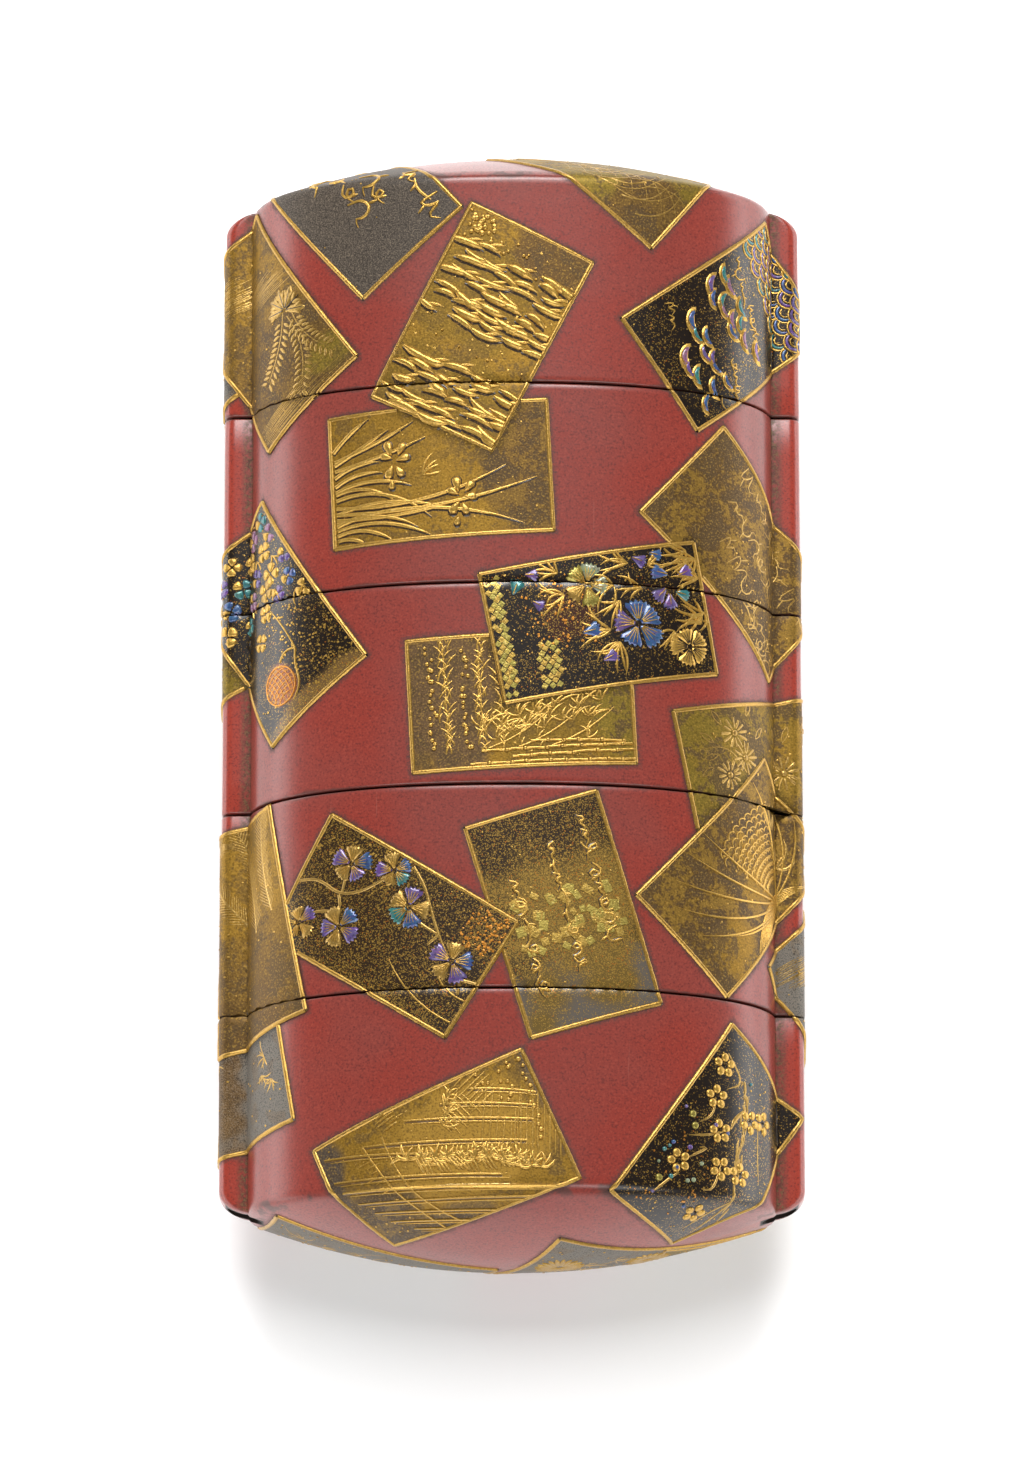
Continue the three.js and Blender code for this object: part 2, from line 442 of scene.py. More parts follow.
BACK = [
    ("back_reeds", 46.0, 30.0, 20, "gold", "reeds"),
    ("back_night", 58.5, 38.0, -50, "night", "plum"),
    ("back_verse", -50.0, 22.0, 65, "charcoal", "script_large"),
    ("back_waves", 52.0, 10.5, -20, "gold", "wave_clumps"),
    ("back_grass", -58.0, -2.0, 40, "olive", "fine_grass"),
    ("back_mums", 44.0, -9.0, 70, "brown", "mums"),
    ("back_pinks", -43.5, -12.0, 10, "night", "branch_pinks"),
    ("back_iris", 56.0, -25.0, 12, "gold", "iris"),
    ("back_sprigs", -50.5, -35.0, -35, "grey", "sprigs"),
    ("back_top", -45.5, 44.5, -10, "gold", "fern"),
    ("back_foot", 42.0, -43.5, -65, "olive", "faint_sprigs"),
]
# On a domed end the place is counted across from the middle of the dome, in x and z.
ENDS = [
    ("foot_left", -11.9, -4.1, -13, "grey", "faint_sprigs", -1),
    ("foot_right", 9.6, -3.6, -29, "grey", "great_mum", -1),
    ("head_back", 7.5, -3.6, 160, "gold", "mums", 1),
]


class PictureCard:
    """One card: its place on the skin, its turn, its ground and its picture."""

    def __init__(self, name, across, along, turn_degrees, ground, picture, end=0, size=1.0):
        self.name, self.ground, self.picture, self.end, self.size = name, ground, picture, end, size
        self.across, self.along, self.turn = across, along, turn_degrees
        self.cos, self.sin = math.cos(math.radians(turn_degrees)), math.sin(math.radians(turn_degrees))
        self.level = 0

    def place(self, x, y):
        """From millimetres on the card to millimetres on the skin."""
        x, y = np.asarray(x, float) * self.size, np.asarray(y, float) * self.size
        return self.across + x * self.cos - y * self.sin, self.along + x * self.sin + y * self.cos

    def local(self, across, along):
        """From the skin back to the card."""
        step = np.asarray(across, float) - self.across
        if not self.end:
            step = (step + GIRTH / 2) % GIRTH - GIRTH / 2
        step, rise = step / self.size, (np.asarray(along, float) - self.along) / self.size
        return step * self.cos + rise * self.sin, -step * self.sin + rise * self.cos

    def outside(self, across, along):
        """Distance outside the card's edge, negative on the card."""
        x, y = self.local(across, along)
        out_x, out_y = np.abs(x) - CARD[0] / 2, np.abs(y) - CARD[1] / 2
        return np.hypot(np.maximum(out_x, 0), np.maximum(out_y, 0)) + np.minimum(np.maximum(out_x, out_y), 0)


cards = [PictureCard(*row) for row in BACK + FRONT + ENDS]
side_x, side_y = np.meshgrid(np.linspace(-0.5, 0.5, 9) * CARD[0], np.linspace(-0.5, 0.5, 7) * CARD[1])
for index, card in enumerate(cards):
    below = [other for other in cards[:index] if other.end == card.end
             and (other.outside(*card.place(side_x, side_y)) < 0).any()]
    card.level = 1 + max([other.level for other in below], default=0)
print(len(cards), "cards, stacked up to", max(card.level for card in cards), "deep")


def uncovered(card, across, along, margin=0.0):
    """True where no card on top hides this one."""
    above = [other for other in cards[cards.index(card) + 1:] if other.end == card.end]
    clear = np.ones(np.shape(across), bool)
    for other in above:
        clear &= other.outside(across, along) > margin
    return clear


# %% [markdown]
# ## From the flat pattern to the skin
#
# A card is drawn flat and then wrapped. The girth walk gives the point under each place on
# the flat pattern, and the nearest point of the modelled skin corrects it, so that the card
# follows the rounded seam edges, the groove beside the runner and the soft ridge exactly.
# What is raised on the card then stands out along the skin's own normal.

# %% Wrap flat places onto the skin
def skin_tree():
    corners, faces = [], []
    for shell in shells:
        start = len(corners)
        corners += [vertex.co.copy() for vertex in shell.data.vertices]
        faces += [[start + i for i in face.vertices] for face in shell.data.polygons]
    return BVHTree.FromPolygons(corners, faces)


skin = skin_tree()


def near_skin(across, along, end):
    """Roughly where a place of the flat pattern comes on the case, in metres."""
    across, along = np.asarray(across) * MM, np.asarray(along) * MM
    if end:
        part = (across / OVAL_X) ** 2 + (along / OVAL_Z) ** 2
        return np.stack([across, end * (TOP_RIDGE + DOME * (1 - part)), AXIS_Z + along], -1)
    around = 4 * HALF_FRONT
    u = (across + around / 2) % around - around / 2
    folded = np.where(np.abs(u) > HALF_FRONT, 2 * HALF_FRONT - np.abs(u), np.abs(u))
    x = np.sign(u) * np.interp(folded, girth_u, girth_x)
    z = np.interp(folded, girth_u, girth_z) * np.where(np.abs(u) > HALF_FRONT, -1, 1)
    past = np.maximum(np.abs(along) - TOP_RIDGE, 0)
    lean_x, lean_z = x / OVAL_X ** 2, z / OVAL_Z ** 2    # square to the ridge
    steep = np.maximum(np.hypot(lean_x, lean_z), 1e-9)
    x, z = x - past * lean_x / steep, z - past * lean_z / steep
    part = np.minimum((x / OVAL_X) ** 2 + (z / OVAL_Z) ** 2, 1)
    y = np.where(past > 0, np.sign(along) * (TOP_RIDGE + DOME * (1 - part)), along)
    return np.stack([x, y, AXIS_Z + z], -1)


def wrap(across, along, lift, end=0):
    """The points on the skin, each raised by its lift in metres."""
    wrapped = []
    for point, rise in zip(near_skin(across, along, end), lift):
        place, normal, _, _ = skin.find_nearest(Vector(point))
        wrapped.append(place + normal * rise)
    return wrapped

# %% [markdown]
# ## Tools for the raised work
#
# Raised lacquer pictures are built up in two ways: lines are drawn with a fine brush that
# is heavier in the middle of a stroke, and petals, leaves and squares are small pads. So
# there are two tools here. A line is a curve with a low domed section, and its width
# follows the stroke. A pad is modelled once with inset-like steps and then stamped
# wherever it is needed, at any size and turn.

# %% Model one pad of each shape
def teardrop(points=16):
    """A petal from its foot at zero to its tip at one."""
    t = np.linspace(0, 2 * np.pi, points, endpoint=False)
    x = (1 - np.cos(t)) / 2
    return list(zip(x, 0.62 * np.sin(t) * (0.30 + 0.85 * x ** 1.1)))


def fan(teeth=5):
    """A fan-shaped petal with a toothed tip."""
    tip = []
    for i, angle in enumerate(np.linspace(-0.60, 0.60, 2 * teeth + 1)):
        reach = 0.86 + 0.14 * (i % 2) + 0.05 * math.cos(2.6 * angle)
        tip.append((reach * math.cos(angle), 1.08 * reach * math.sin(angle)))
    return [(0.0, -0.07), (0.34, -0.27), *tip, (0.34, 0.27), (0.0, 0.07)]


def lens(points=12):
    t = np.linspace(0, 2 * np.pi, points, endpoint=False)
    return list(zip((1 - np.cos(t)) / 2, 0.5 * np.sin(t) * np.abs(np.sin(t)) ** 0.5))


def disc(points=10):
    t = np.linspace(0, 2 * np.pi, points, endpoint=False)
    return list(zip(0.5 + 0.5 * np.cos(t), 0.5 * np.sin(t)))


def moon():
    """A crescent that lies on its back."""
    t = np.linspace(0, np.pi, 9)
    outer = list(zip(0.5 - 0.5 * np.cos(t), 0.25 - 0.55 * np.sin(t)))
    inner = list(zip(0.5 + 0.5 * np.cos(t), 0.25 - 0.14 * np.sin(t)))[1:-1]
    return outer + inner


def model_pad(outline, flat=False):
    """A low pad: the outline, a rounded shoulder and a slightly domed top. Cut leaf stays flat."""
    deselect()
    bpy.ops.mesh.primitive_circle_add(vertices=len(outline), radius=1, fill_type="NGON")
    pad = bpy.context.object
    middle = np.mean(outline, axis=0)
    for vertex, (x, y) in zip(pad.data.vertices, outline):
        vertex.co = (x, y, 0)
    bpy.ops.object.mode_set(mode="EDIT")
    bpy.ops.mesh.select_all(action="SELECT")
    for rise, shrink in ((0.96, 0.95), (0.04, 0.9)) if flat else ((0.65, 0.86), (0.35, 0.64)):
        bpy.ops.mesh.extrude_region_move(TRANSFORM_OT_translate={"value": (0, 0, rise)})
        bpy.ops.transform.resize(value=(shrink, shrink, 1), center_override=(*middle, 0))
    face_outwards()
    corners = np.array([vertex.co[:] for vertex in pad.data.vertices])
    faces = [tuple(face.vertices) for face in pad.data.polygons]
    bpy.data.objects.remove(pad)
    return corners, faces


PADS = {name: model_pad(outline, name == "square") for name, outline in {
    "petal": teardrop(), "ragged": fan(), "leaf": lens(), "dot": disc(),
    "moon": moon(), "square": [(0, -0.5), (1, -0.5), (1, 0.5), (0, 0.5)]}.items()}
print("pads:", {name: len(faces) for name, (corners, faces) in PADS.items()})


# %% Curves for the brush
def away(x, y, distance, heading):
    return x + distance * math.cos(math.radians(heading)), y + distance * math.sin(math.radians(heading))


def bow(start, end, sag, steps=14):
    """A curve from start to end that bows to the left by sag millimetres."""
    start, end = np.array(start, float), np.array(end, float)
    along = end - start
    left = np.array([-along[1], along[0]]) / max(np.hypot(*along), 1e-6)
    t = np.linspace(0, 1, steps)[:, None]
    return start + along * t + left * sag * 4 * t * (1 - t)


def soften(points, rounds=3):
    """Rounds a bent line by cutting its corners again and again."""
    points = np.asarray(points, float)
    for _ in range(rounds):
        cut = np.empty((2 * len(points), 2))
        cut[0], cut[-1] = points[0], points[-1]
        cut[1:-1:2] = 0.75 * points[:-1] + 0.25 * points[1:]
        cut[2:-1:2] = 0.25 * points[:-1] + 0.75 * points[1:]
        points = cut
    return points


# Brush marks for running script: a rhythm of hooks, loops and bends that spell nothing.
MARKS = [
    [(0, 0.1), (0.5, -0.4), (0.9, 0.1), (0.6, 0.5), (0.3, 0.1), (0.8, -0.2), (1.3, 0.1)],
    [(0, -0.3), (0.2, 0.4), (0.8, 0.5), (1.0, -0.1), (0.7, -0.4), (1.2, -0.5)],
    [(0, 0.3), (0.3, -0.3), (0.6, 0.3), (0.9, -0.2), (1.4, 0.3)],
    [(0, 0.0), (0.6, 0.2), (1.5, -0.1)],
    [(0, 0.4), (0.5, 0.2), (0.6, -0.4), (0.2, -0.5), (0.4, 0.1), (1.1, 0.3)],
    [(0, 0.0), (0.3, 0.5), (0.7, 0.0), (0.3, -0.4), (0.1, 0.1), (0.8, 0.4), (1.1, -0.3), (0.8, -0.5),
     (1.3, 0.0)],
    [(0.1, -0.5), (0.1, 0.5), (0.5, 0.1), (0.5, -0.5), (0.8, 0.5), (1.2, 0.0)],
]


# %% A brush that collects what is raised on one card
class Brush:
    """Draws on one card in millimetres from its middle, with x along its long side."""

    def __init__(self, card):
        self.card = card
        self.dice = random.Random(card.name)
        self.lines, self.stamps = [], []

    def line(self, points, width=0.2, ends=(1.0, 0.3), finish="bright", on=0.0):
        """A brush line. It thins towards its ends and stops at the border and under other cards."""
        points = np.asarray(points, float)
        length = np.concatenate([[0], np.cumsum(np.hypot(*np.diff(points, axis=0).T))])
        step = 0.25 if length[-1] < 3 else 0.42
        even = np.linspace(0, length[-1], max(4, int(length[-1] / step) + 1))
        x, y = np.interp(even, length, points[:, 0]), np.interp(even, length, points[:, 1])
        size = width * np.interp(even / max(length[-1], 1e-6), [0, 0.25, 0.7, 1], [ends[0], 1, 1, ends[1]])
        inside = (np.abs(x) < CARD[0] / 2 - BORDER / 2) & (np.abs(y) < CARD[1] / 2 - BORDER / 2)
        across, along = self.card.place(x, y)
        self._keep_runs(across, along, size, inside & uncovered(self.card, across, along, 0.05), finish, on)

    def _keep_runs(self, across, along, size, shown, finish, on=0.0):
        run = []
        for item in [*zip(across, along, size, shown), (0, 0, 0, False)]:
            if item[3]:
                run.append(item[:3])
            else:
                if len(run) > 1:
                    self.lines.append((run, finish, on))
                run = []

    def border(self):
        half_x, half_y = CARD[0] / 2 - BORDER / 2, CARD[1] / 2 - BORDER / 2
        corners = [(-half_x, -half_y), (half_x, -half_y), (half_x, half_y), (-half_x, half_y)]
        for start, end in zip(corners, corners[1:] + corners[:1]):
            x, y = np.linspace(start, end, int(math.dist(start, end) / 0.3)).T
            across, along = self.card.place(x, y)
            size = np.array([BORDER * (1 + self.dice.uniform(-0.09, 0.09)) for _ in x])
            self._keep_runs(across, along, size, uncovered(self.card, across, along, -0.05), "border")

    def pad(self, shape, x, y, length, width, turn_degrees, finish="bright", rise=0.12):
        """Stamps a pad whose foot is at x and y."""
        for px, py in ((x, y), away(x, y, length, turn_degrees)):
            if abs(px) > CARD[0] / 2 - BORDER or abs(py) > CARD[1] / 2 - BORDER:
                return
            if not uncovered(self.card, *self.card.place(px, py), 0.15).all():
                return
        self.stamps.append((shape, x, y, length, width, math.radians(turn_degrees), rise, finish))

    def flower(self, x, y, size, petals, shape="petal", finish="bright", ribs=None, turn_degrees=0.0):
        """Petals round a heart, with fine ribs over them if asked. Ragged ones lie unevenly."""
        width = size * min(1.0, 4.9 / petals)
        finishes = [finish] if isinstance(finish, str) else finish
        loose = 7 if shape == "ragged" else 0
        for i in range(petals):
            heading = turn_degrees + 360 * i / petals + self.dice.uniform(-loose, loose)
            foot = away(x, y, 0.1 * size, heading)
            reach = size * 0.92 * (1 + self.dice.uniform(-loose, loose) / 50)
            wide = 0.93 * width if loose else width
            self.pad(shape, *foot, reach, wide, heading, finishes[i % len(finishes)])
            if ribs:
                for spread in (-15, -5, 5, 15):
                    start = away(x, y, 0.2 * size, heading + spread)
                    end = away(x, y, 0.8 * size, heading + 1.2 * spread)
                    self.line([start, end], 0.11, (1, 0.4), ribs, 0.12)

    def tuft(self, x, y, heading, count, length, width, spread, finish="bright"):
        """Narrow bent leaves that fan out from one point."""
        for i in range(count):
            turned = heading + spread * (i / max(count - 1, 1) - 0.5) + self.dice.uniform(-8, 8)
            reach = length * self.dice.uniform(0.6, 1.1)
            curve = bow((x, y), away(x, y, reach, turned), self.dice.uniform(-0.2, 0.2) * length, 10)
            self.line(curve, width, (0.5, 0.15), finish)

    def script(self, x, y, length, size, heading, width=0.2, edge=None, finish="bright"):
        """A column of flowing marks, none a letter. A dark edge of painted shadow makes them stand out."""
        ahead = np.array([math.cos(math.radians(heading)), math.sin(math.radians(heading))])
        aside = np.array([-ahead[1], ahead[0]])
        reach = 0.0
        while reach < length:
            mark = size * self.dice.uniform(0.75, 1.15)
            side = self.dice.choice([-1, 1])
            curve = np.array([np.array((x, y)) + ahead * (reach + mark * a) + aside * side * mark * s
                              for a, s in soften(self.dice.choice(MARKS))])
            # Painted shadow: a wider dark stroke lies a little to one side of each stroke.
            if edge:
                self.line(curve - np.array([0.04, 0.07]), width + 0.12, (0.6, 0.4), edge)
            self.line(curve, width, (0.6, 0.3), finish)
            tick = curve[len(curve) // 3]
            self.line([tick, away(*tick, 0.45 * mark, heading + side * 70)], width * 0.9, (0.5, 0.4), finish)
            reach += mark * self.dice.uniform(0.95, 1.25)

    def hatch(self, x, y, heading, count, spacing, length, width=0.13, finish="wash"):
        """Close strokes side by side, as a dry brush leaves them."""
        for i in range(count):
            start = away(x, y, spacing * i, heading + 90)
            start = away(*start, self.dice.uniform(-0.5, 0.5), heading)
            end = away(*start, length * self.dice.uniform(0.6, 1.05), heading)
            self.line(bow(start, end, self.dice.uniform(-0.06, 0.06), 6), width, (0.4, 0.4), finish)

    def squares(self, left, low, right, high, pitch):
        """Little squares cut from gold leaf and set slantwise in rows."""
        row, y = 0, low
        while y < high:
            x = left + 0.5 * pitch * (row % 2)
            while x < right:
                if self.dice.random() < 0.85:
                    self.pad("square", x, y, 0.46, 0.46, 45 + self.dice.uniform(-10, 10),
                             self.dice.choice(["lime", "leaf_gold", "lime_leaf"]), 0.03)
                x += pitch
            row, y = row + 1, y + 0.62 * pitch

    def sprinkle(self, count, size, finish="bright", around=(0, 0), spread=(9.2, 5.6)):
        """Flakes of gold that were shaken over the wet lacquer."""
        for _ in range(count):
            width = self.dice.uniform(*size)
            self.pad("square", around[0] + self.dice.uniform(-1, 1) * spread[0],
                     around[1] + self.dice.uniform(-1, 1) * spread[1], width, width * 0.8,
                     self.dice.uniform(0, 90), finish, 0.04)

    def dots(self, spots, size, scatter, finish="bright"):
        for x, y in spots:
            width = self.dice.uniform(*size)
            self.pad("dot", x + self.dice.gauss(0, scatter), y + self.dice.gauss(0, scatter), width, width,
                     0, finish, 0.16)

# %% [markdown]
# ## The pictures
#
# The pictures are the stock of the lacquer worker: grasses, irises, pinks, plum and
# chrysanthemum, waves and shells, and running script that is only a rhythm of brush marks
# here. Each one is drawn in the card's own millimetres, so it can be tried on any card.
# Raised ones are built up in gold, and painted ones are kept almost flat.

# %% Grasses, leaves and water
# foot height, tip and bow of each blade
IRIS_BLADES = [
    (2.4, (-5.9, 5.4), 0.2), (1.8, (-2.0, 4.7), -0.3), (1.0, (-1.0, 3.2), -0.3), (0.2, (-5.2, 1.4), 0.4),
    (-0.6, (-4.9, 0.4), 0.5), (-1.2, (-3.8, -2.4), 0.9), (-1.7, (-0.8, -4.0), 1.3), (-2.2, (5.8, 0.2), -1.4),
    (-2.8, (8.4, -1.0), -1.1), (-3.3, (2.2, -2.6), -0.6), (-3.8, (7.1, -5.1), 1.3), (-4.4, (-0.5, -5.9), 1.0),
    (-4.9, (-4.1, -5.9), 0.8), (-5.3, (-6.5, -5.9), 0.4), (1.4, (-4.2, 4.2), -0.1), (-1.0, (-2.4, -1.0), 0.7),
    (-3.0, (0.6, -3.4), 0.9), (-4.1, (-2.0, -4.8), 1.0)]
IRIS_PETALS = [(-0.1, 0.5, 1.7, 108), (0.4, 0.5, 1.5, 62), (0.0, 0.3, 1.4, 160), (0.2, 0.1, 1.5, 14),
               (0.0, -0.2, 1.6, 244), (0.2, -0.3, 1.4, 300), (-0.1, -1.5, 1.1, 262)]


def iris(b):
    """Long blades that sweep in from one short side, with two flowers among them."""
    for foot, tip, sag in IRIS_BLADES:
        curve = bow((-9.6, foot), tip, sag, 20)
        # Painted shadow: a wider dark line lies just below each blade.
        b.line(curve + np.array([0.0, -0.12]), 0.62, (1, 0.3), "umber")
        b.line(curve, 0.44, (1, 0.15))
    for x, y, turned in ((-3.9, 1.2, 0), (1.7, -2.6, -12)):
        for side, up, size, heading in IRIS_PETALS:
            # Painted shadow: a larger dark petal lies just below each gold one.
            b.pad("petal", x + side, y + up - 0.1, size, 0.64 * size, heading + turned, "umber", 0.06)
            b.pad("petal", x + side, y + up, 0.9 * size, 0.5 * size, heading + turned, "bright", 0.22)
    b.tuft(-1.4, -0.2, 30, 4, 2.4, 0.3, 50)
    b.sprinkle(40, (0.08, 0.16))


WAVE_TRIES = 1500                      # places tried until enough waves have room


def wave_clumps(b):
    """Swelling waves that lean across the card in two bands, with spray above them."""
    for left, right, count in ((-0.5, 6.4, 54), (-9.3, -4.3, 46)):
        taken = []
        for _ in range(WAVE_TRIES):
            x, y = b.dice.uniform(left, right), b.dice.uniform(-4.4, 6.2)
            if len(taken) < count and all(abs(x - px) > 0.6 or abs(y - py) > 1.7 for px, py in taken):
                taken.append((x, y))
        for x, y in sorted(taken, reverse=True):
            heading, swell = -93 + b.dice.uniform(-12, 12), b.dice.uniform(0.55, 0.88)
            tip = away(x, y, b.dice.uniform(2.0, 3.6), heading)
            curve = bow((x, y), tip, b.dice.choice([-0.3, -0.15, 0.15, 0.3]), 14)
            # Painted shadow: a wider dark line lies to one side of each wave.
            b.line(curve + np.array([-0.2, 0]), swell + 0.2, (0.3, 0.2), "umber")
            b.line(curve, swell, (0.35, 0.06))
            if b.dice.random() < 0.45:
                b.line(bow(curve[5], away(*curve[5], 1.7, heading + 24), 0.1, 8), 0.36, (0.6, 0.1))
    b.dots([(8.2, 4.3)] * 44, (0.3, 0.56), 0.85)
    b.dots([(6.9, 3.0), (6.9, 1.2), (6.9, -0.6), (6.5, -2.4)] * 4, (0.2, 0.4), 0.5)
    b.dots([(-2.4, 3.2), (-1.6, 1.0), (-3.1, -1.6), (-2.0, -4.0)] * 2, (0.2, 0.3), 0.8)
    b.sprinkle(50, (0.1, 0.24))


def fine_grass(b):
    """Thin blades in loops that cross one another."""
    for i in range(9):
        foot = (-8.6 + 1.5 * i, -5.8 + 0.25 * i)
        b.line(bow(foot, away(*foot, 6.5, 76 - 4 * i), -1.5, 22), 0.16, (1, 0.3), "wash")
        b.line(bow(away(*foot, 3, 40), away(*foot, 8, 10), 1.6, 22), 0.15, (1, 0.3), "wash")
    for i in range(6):
        foot = (-3.5 + 2.0 * i, -2.0 - 0.5 * i)
        b.line(bow(foot, away(*foot, 4.6, 20 + 9 * i), -0.9, 18), 0.2, (1, 0.3), "wash")
    b.sprinkle(40, (0.08, 0.16))


# foot, tilt and number of joints of each lying stem
REED_STEMS = [(0.6, -3.7, -1, 5), (-3.6, -4.4, 1, 8), (-1.0, -5.0, 2, 7), (-4.6, -5.5, 0, 9)]
# column of leaves and the side they point to
REED_COLUMNS = [(-6.8, 1), (-6.1, -1), (-6.4, 1), (-3.8, 1), (-3.2, -1), (-3.5, 1), (-1.9, 1), (-1.7, -1),
                (-0.4, 1), (1.2, 1)]


def reeds(b):
    """Columns of berries and bamboo leaf, over stems that run along the lower side."""
    for x, top in ((-7.9, 5.0), (-5.0, 4.6)):
        b.dots([(x, top - 0.42 * i) for i in range(22)], (0.34, 0.5), 0.2)
    for x, side in REED_COLUMNS:
        for i in range(15):
            foot = (x + b.dice.uniform(-0.3, 0.3), 5.3 - 0.7 * i)
            tip = away(*foot, b.dice.uniform(0.9, 1.6), 90 - side * b.dice.uniform(14, 50))
            b.line(bow(foot, tip, 0.1 * side, 8), 0.22, (0.4, 0.15))
    for x in (-6.5, -3.5, -1.8):
        b.line([(x, 5.4), (x + 0.1, -3.4)], 0.16, (0.8, 0.8))
    for x, y, tilt, joints in REED_STEMS:
        for _ in range(joints):
            reach = b.dice.uniform(1.2, 2.2)
            tip = away(x, y, reach - 0.14, tilt + b.dice.uniform(-2, 2))
            b.line([(x, y), tip], 0.3, (1.1, 1.1))
            b.dots([tip], (0.36, 0.42), 0.02)
            x, y = away(x, y, reach, tilt)
    for x in (-3.0, -0.4, 2.4):
        b.line(bow((x, -4.2), away(x, -4.2, 6.4, 31), -0.4), 0.22, (1, 0.5))
    for i in range(26):
        x, y = -3.6 + 0.42 * i, -3.8 + 0.11 * i + b.dice.uniform(-0.6, 1.8)
        lean = b.dice.uniform(10, 50)
        for turned, reach in ((lean, 2.1), (lean + 34, 1.5), (lean + 110, 1.2)):
            tip = away(x, y, reach * b.dice.uniform(0.7, 1.05), turned)
            b.line(bow((x, y), tip, 0.2, 8), 0.25, (0.4, 0.1))
    b.tuft(5.4, -3.6, 70, 5, 1.6, 0.26, 80)
    b.sprinkle(60, (0.1, 0.2))


def frond(b, foot, tip, sag, leaf, finish="wash"):
    """A stem with a pair of leaflets at every step."""
    stem = bow(foot, tip, sag, 13)
    b.line(stem, 0.17, (1, 0.4), finish)
    for i in range(2, 13):
        ahead = math.degrees(math.atan2(*(stem[i] - stem[i - 1])[::-1]))
        for side in (-1, 1):
            foot = away(*stem[i], 0.16, ahead + side * 60)
            b.pad("leaf", *foot, leaf, leaf * 0.36, ahead + side * 60, finish, 0.05)


def leaf_spray(b):
    """A cut leaf and two fronds, with dry-brushed streaks at both ends of the card."""
    for i in range(5):
        b.hatch(-8.6 + 1.3 * i, -5.4 + 1.6 * i, 78, 9, -0.17, 6.0, 0.11)
    b.hatch(9.4, -5.4, 90, 12, 0.18, 11, 0.12)
    frond(b, (1.4, 3.9), (7.2, 4.6), -0.6, 0.95)
    frond(b, (1.6, 3.2), (8.0, 0.2), 0.9, 0.95)
    frond(b, (0.8, 3.2), (4.6, -2.0), 0.5, 0.95)
    for heading in (50, 88, 126, 164, 202, 240):
        b.pad("leaf", 1.0, 3.4, 2.3, 0.86, heading, "wash", 0.08)
        for side in (-30, 30):
            b.pad("leaf", *away(1.0, 3.4, 0.9, heading), 1.1, 0.44, heading + side, "wash", 0.08)
        b.line([away(1.0, 3.4, 0.2, heading), away(1.0, 3.4, 1.9, heading)], 0.12, (1, 0.4), "umber", 0.09)
    b.sprinkle(30, (0.1, 0.2))


def fern(b):
    """Pine boughs with close needles over one half of the card."""
    for foot, tip, sag in (((-1.0, -0.4), (-9.2, -3.4), 0.6), ((0.6, 1.6), (-9.2, 0.4), -0.5),
                           ((-0.4, 4.2), (-9.2, 4.6), 0.5), ((-5.6, -5.6), (-8.8, -1.2), 0.4)):
        stem = bow(foot, tip, sag, 30)
        b.line(stem, 0.26, (1, 0.4), "wash")
        for i in range(1, 30):
            ahead = math.degrees(math.atan2(*(stem[i] - stem[i - 1])[::-1]))
            for side in (-1, 1):
                needle = away(*stem[i], b.dice.uniform(1.1, 1.7), ahead + side * 42)
                b.line([stem[i], needle], 0.14, (1, 0.3), "wash")
    b.sprinkle(40, (0.1, 0.2))


def sprigs(b):
    for x, y, heading in ((-3.4, 4.6, -20), (-1.6, 3.6, -30), (3.0, 3.6, -60), (4.4, 3.0, 10),
                          (5.2, 4.2, -20), (-5.6, -2.0, 20), (1.5, -3.4, 0)):
        b.tuft(x, y, heading, 6, 1.3, 0.22, 150, "wash")
    b.line(soften([(-1.6, 3.6), (0.4, 4.4), (1.2, 3.0), (3.0, 3.6)]), 0.14, (1, 1), "wash")
    b.sprinkle(30, (0.1, 0.2))


def faint_sprigs(b):
    for _ in range(5):
        x, y = b.dice.uniform(-8, 7), b.dice.uniform(-4, 4)
        b.tuft(x, y, b.dice.uniform(0, 360), 5, 1.6, 0.2, 130, "wash")
        b.line(bow((x, y), away(x, y, 3, b.dice.uniform(0, 360)), 0.5), 0.14, (1, 0.4), "wash")
    b.sprinkle(50, (0.1, 0.2))


# %% Flowers
# foot, heading, number of leaves and their length
PINK_LEAVES = [
    (9.3, 4.4, 190, 6, 2.6), (9.3, 2.6, 165, 5, 2.0), (9.3, -0.4, 195, 5, 2.2), (8.8, -1.4, 150, 4, 1.8),
    (6.2, -1.8, 240, 4, 1.9), (3.2, 4.6, 160, 4, 2.2), (1.6, 2.8, 200, 4, 2.2), (1.9, 1.4, 225, 4, 2.0),
    (-3.0, 4.6, 150, 4, 1.8), (-2.8, 2.6, 190, 5, 2.2), (0.6, -1.0, 160, 4, 2.4), (1.2, -2.2, 230, 5, 2.2),
    (4.9, 4.2, 20, 3, 1.6), (4.0, 2.2, 170, 3, 1.7), (8.6, 5.2, 200, 4, 2.0)]
# foot, size, heading and shell of the single petals between the whole flowers
PINK_PETALS = [
    (6.6, 3.2, 1.6, 160, "blue"), (7.4, 3.0, 1.5, 20, "violet"), (6.2, 2.0, 1.5, 215, "violet"),
    (7.0, 1.6, 1.3, 340, "teal"), (6.4, 1.6, 1.5, 265, "violet"), (-7.1, 3.4, 1.5, 60, "teal"),
    (-5.6, 2.6, 1.2, 320, "violet"), (-1.9, -0.9, 1.7, 5, "blue"), (-0.6, -3.6, 1.5, 20, "violet"),
    (3.6, 5.1, 1.4, 330, "violet"), (5.2, 5.3, 1.2, 340, "blue"), (-5.8, 5.0, 1.2, 350, "violet")]


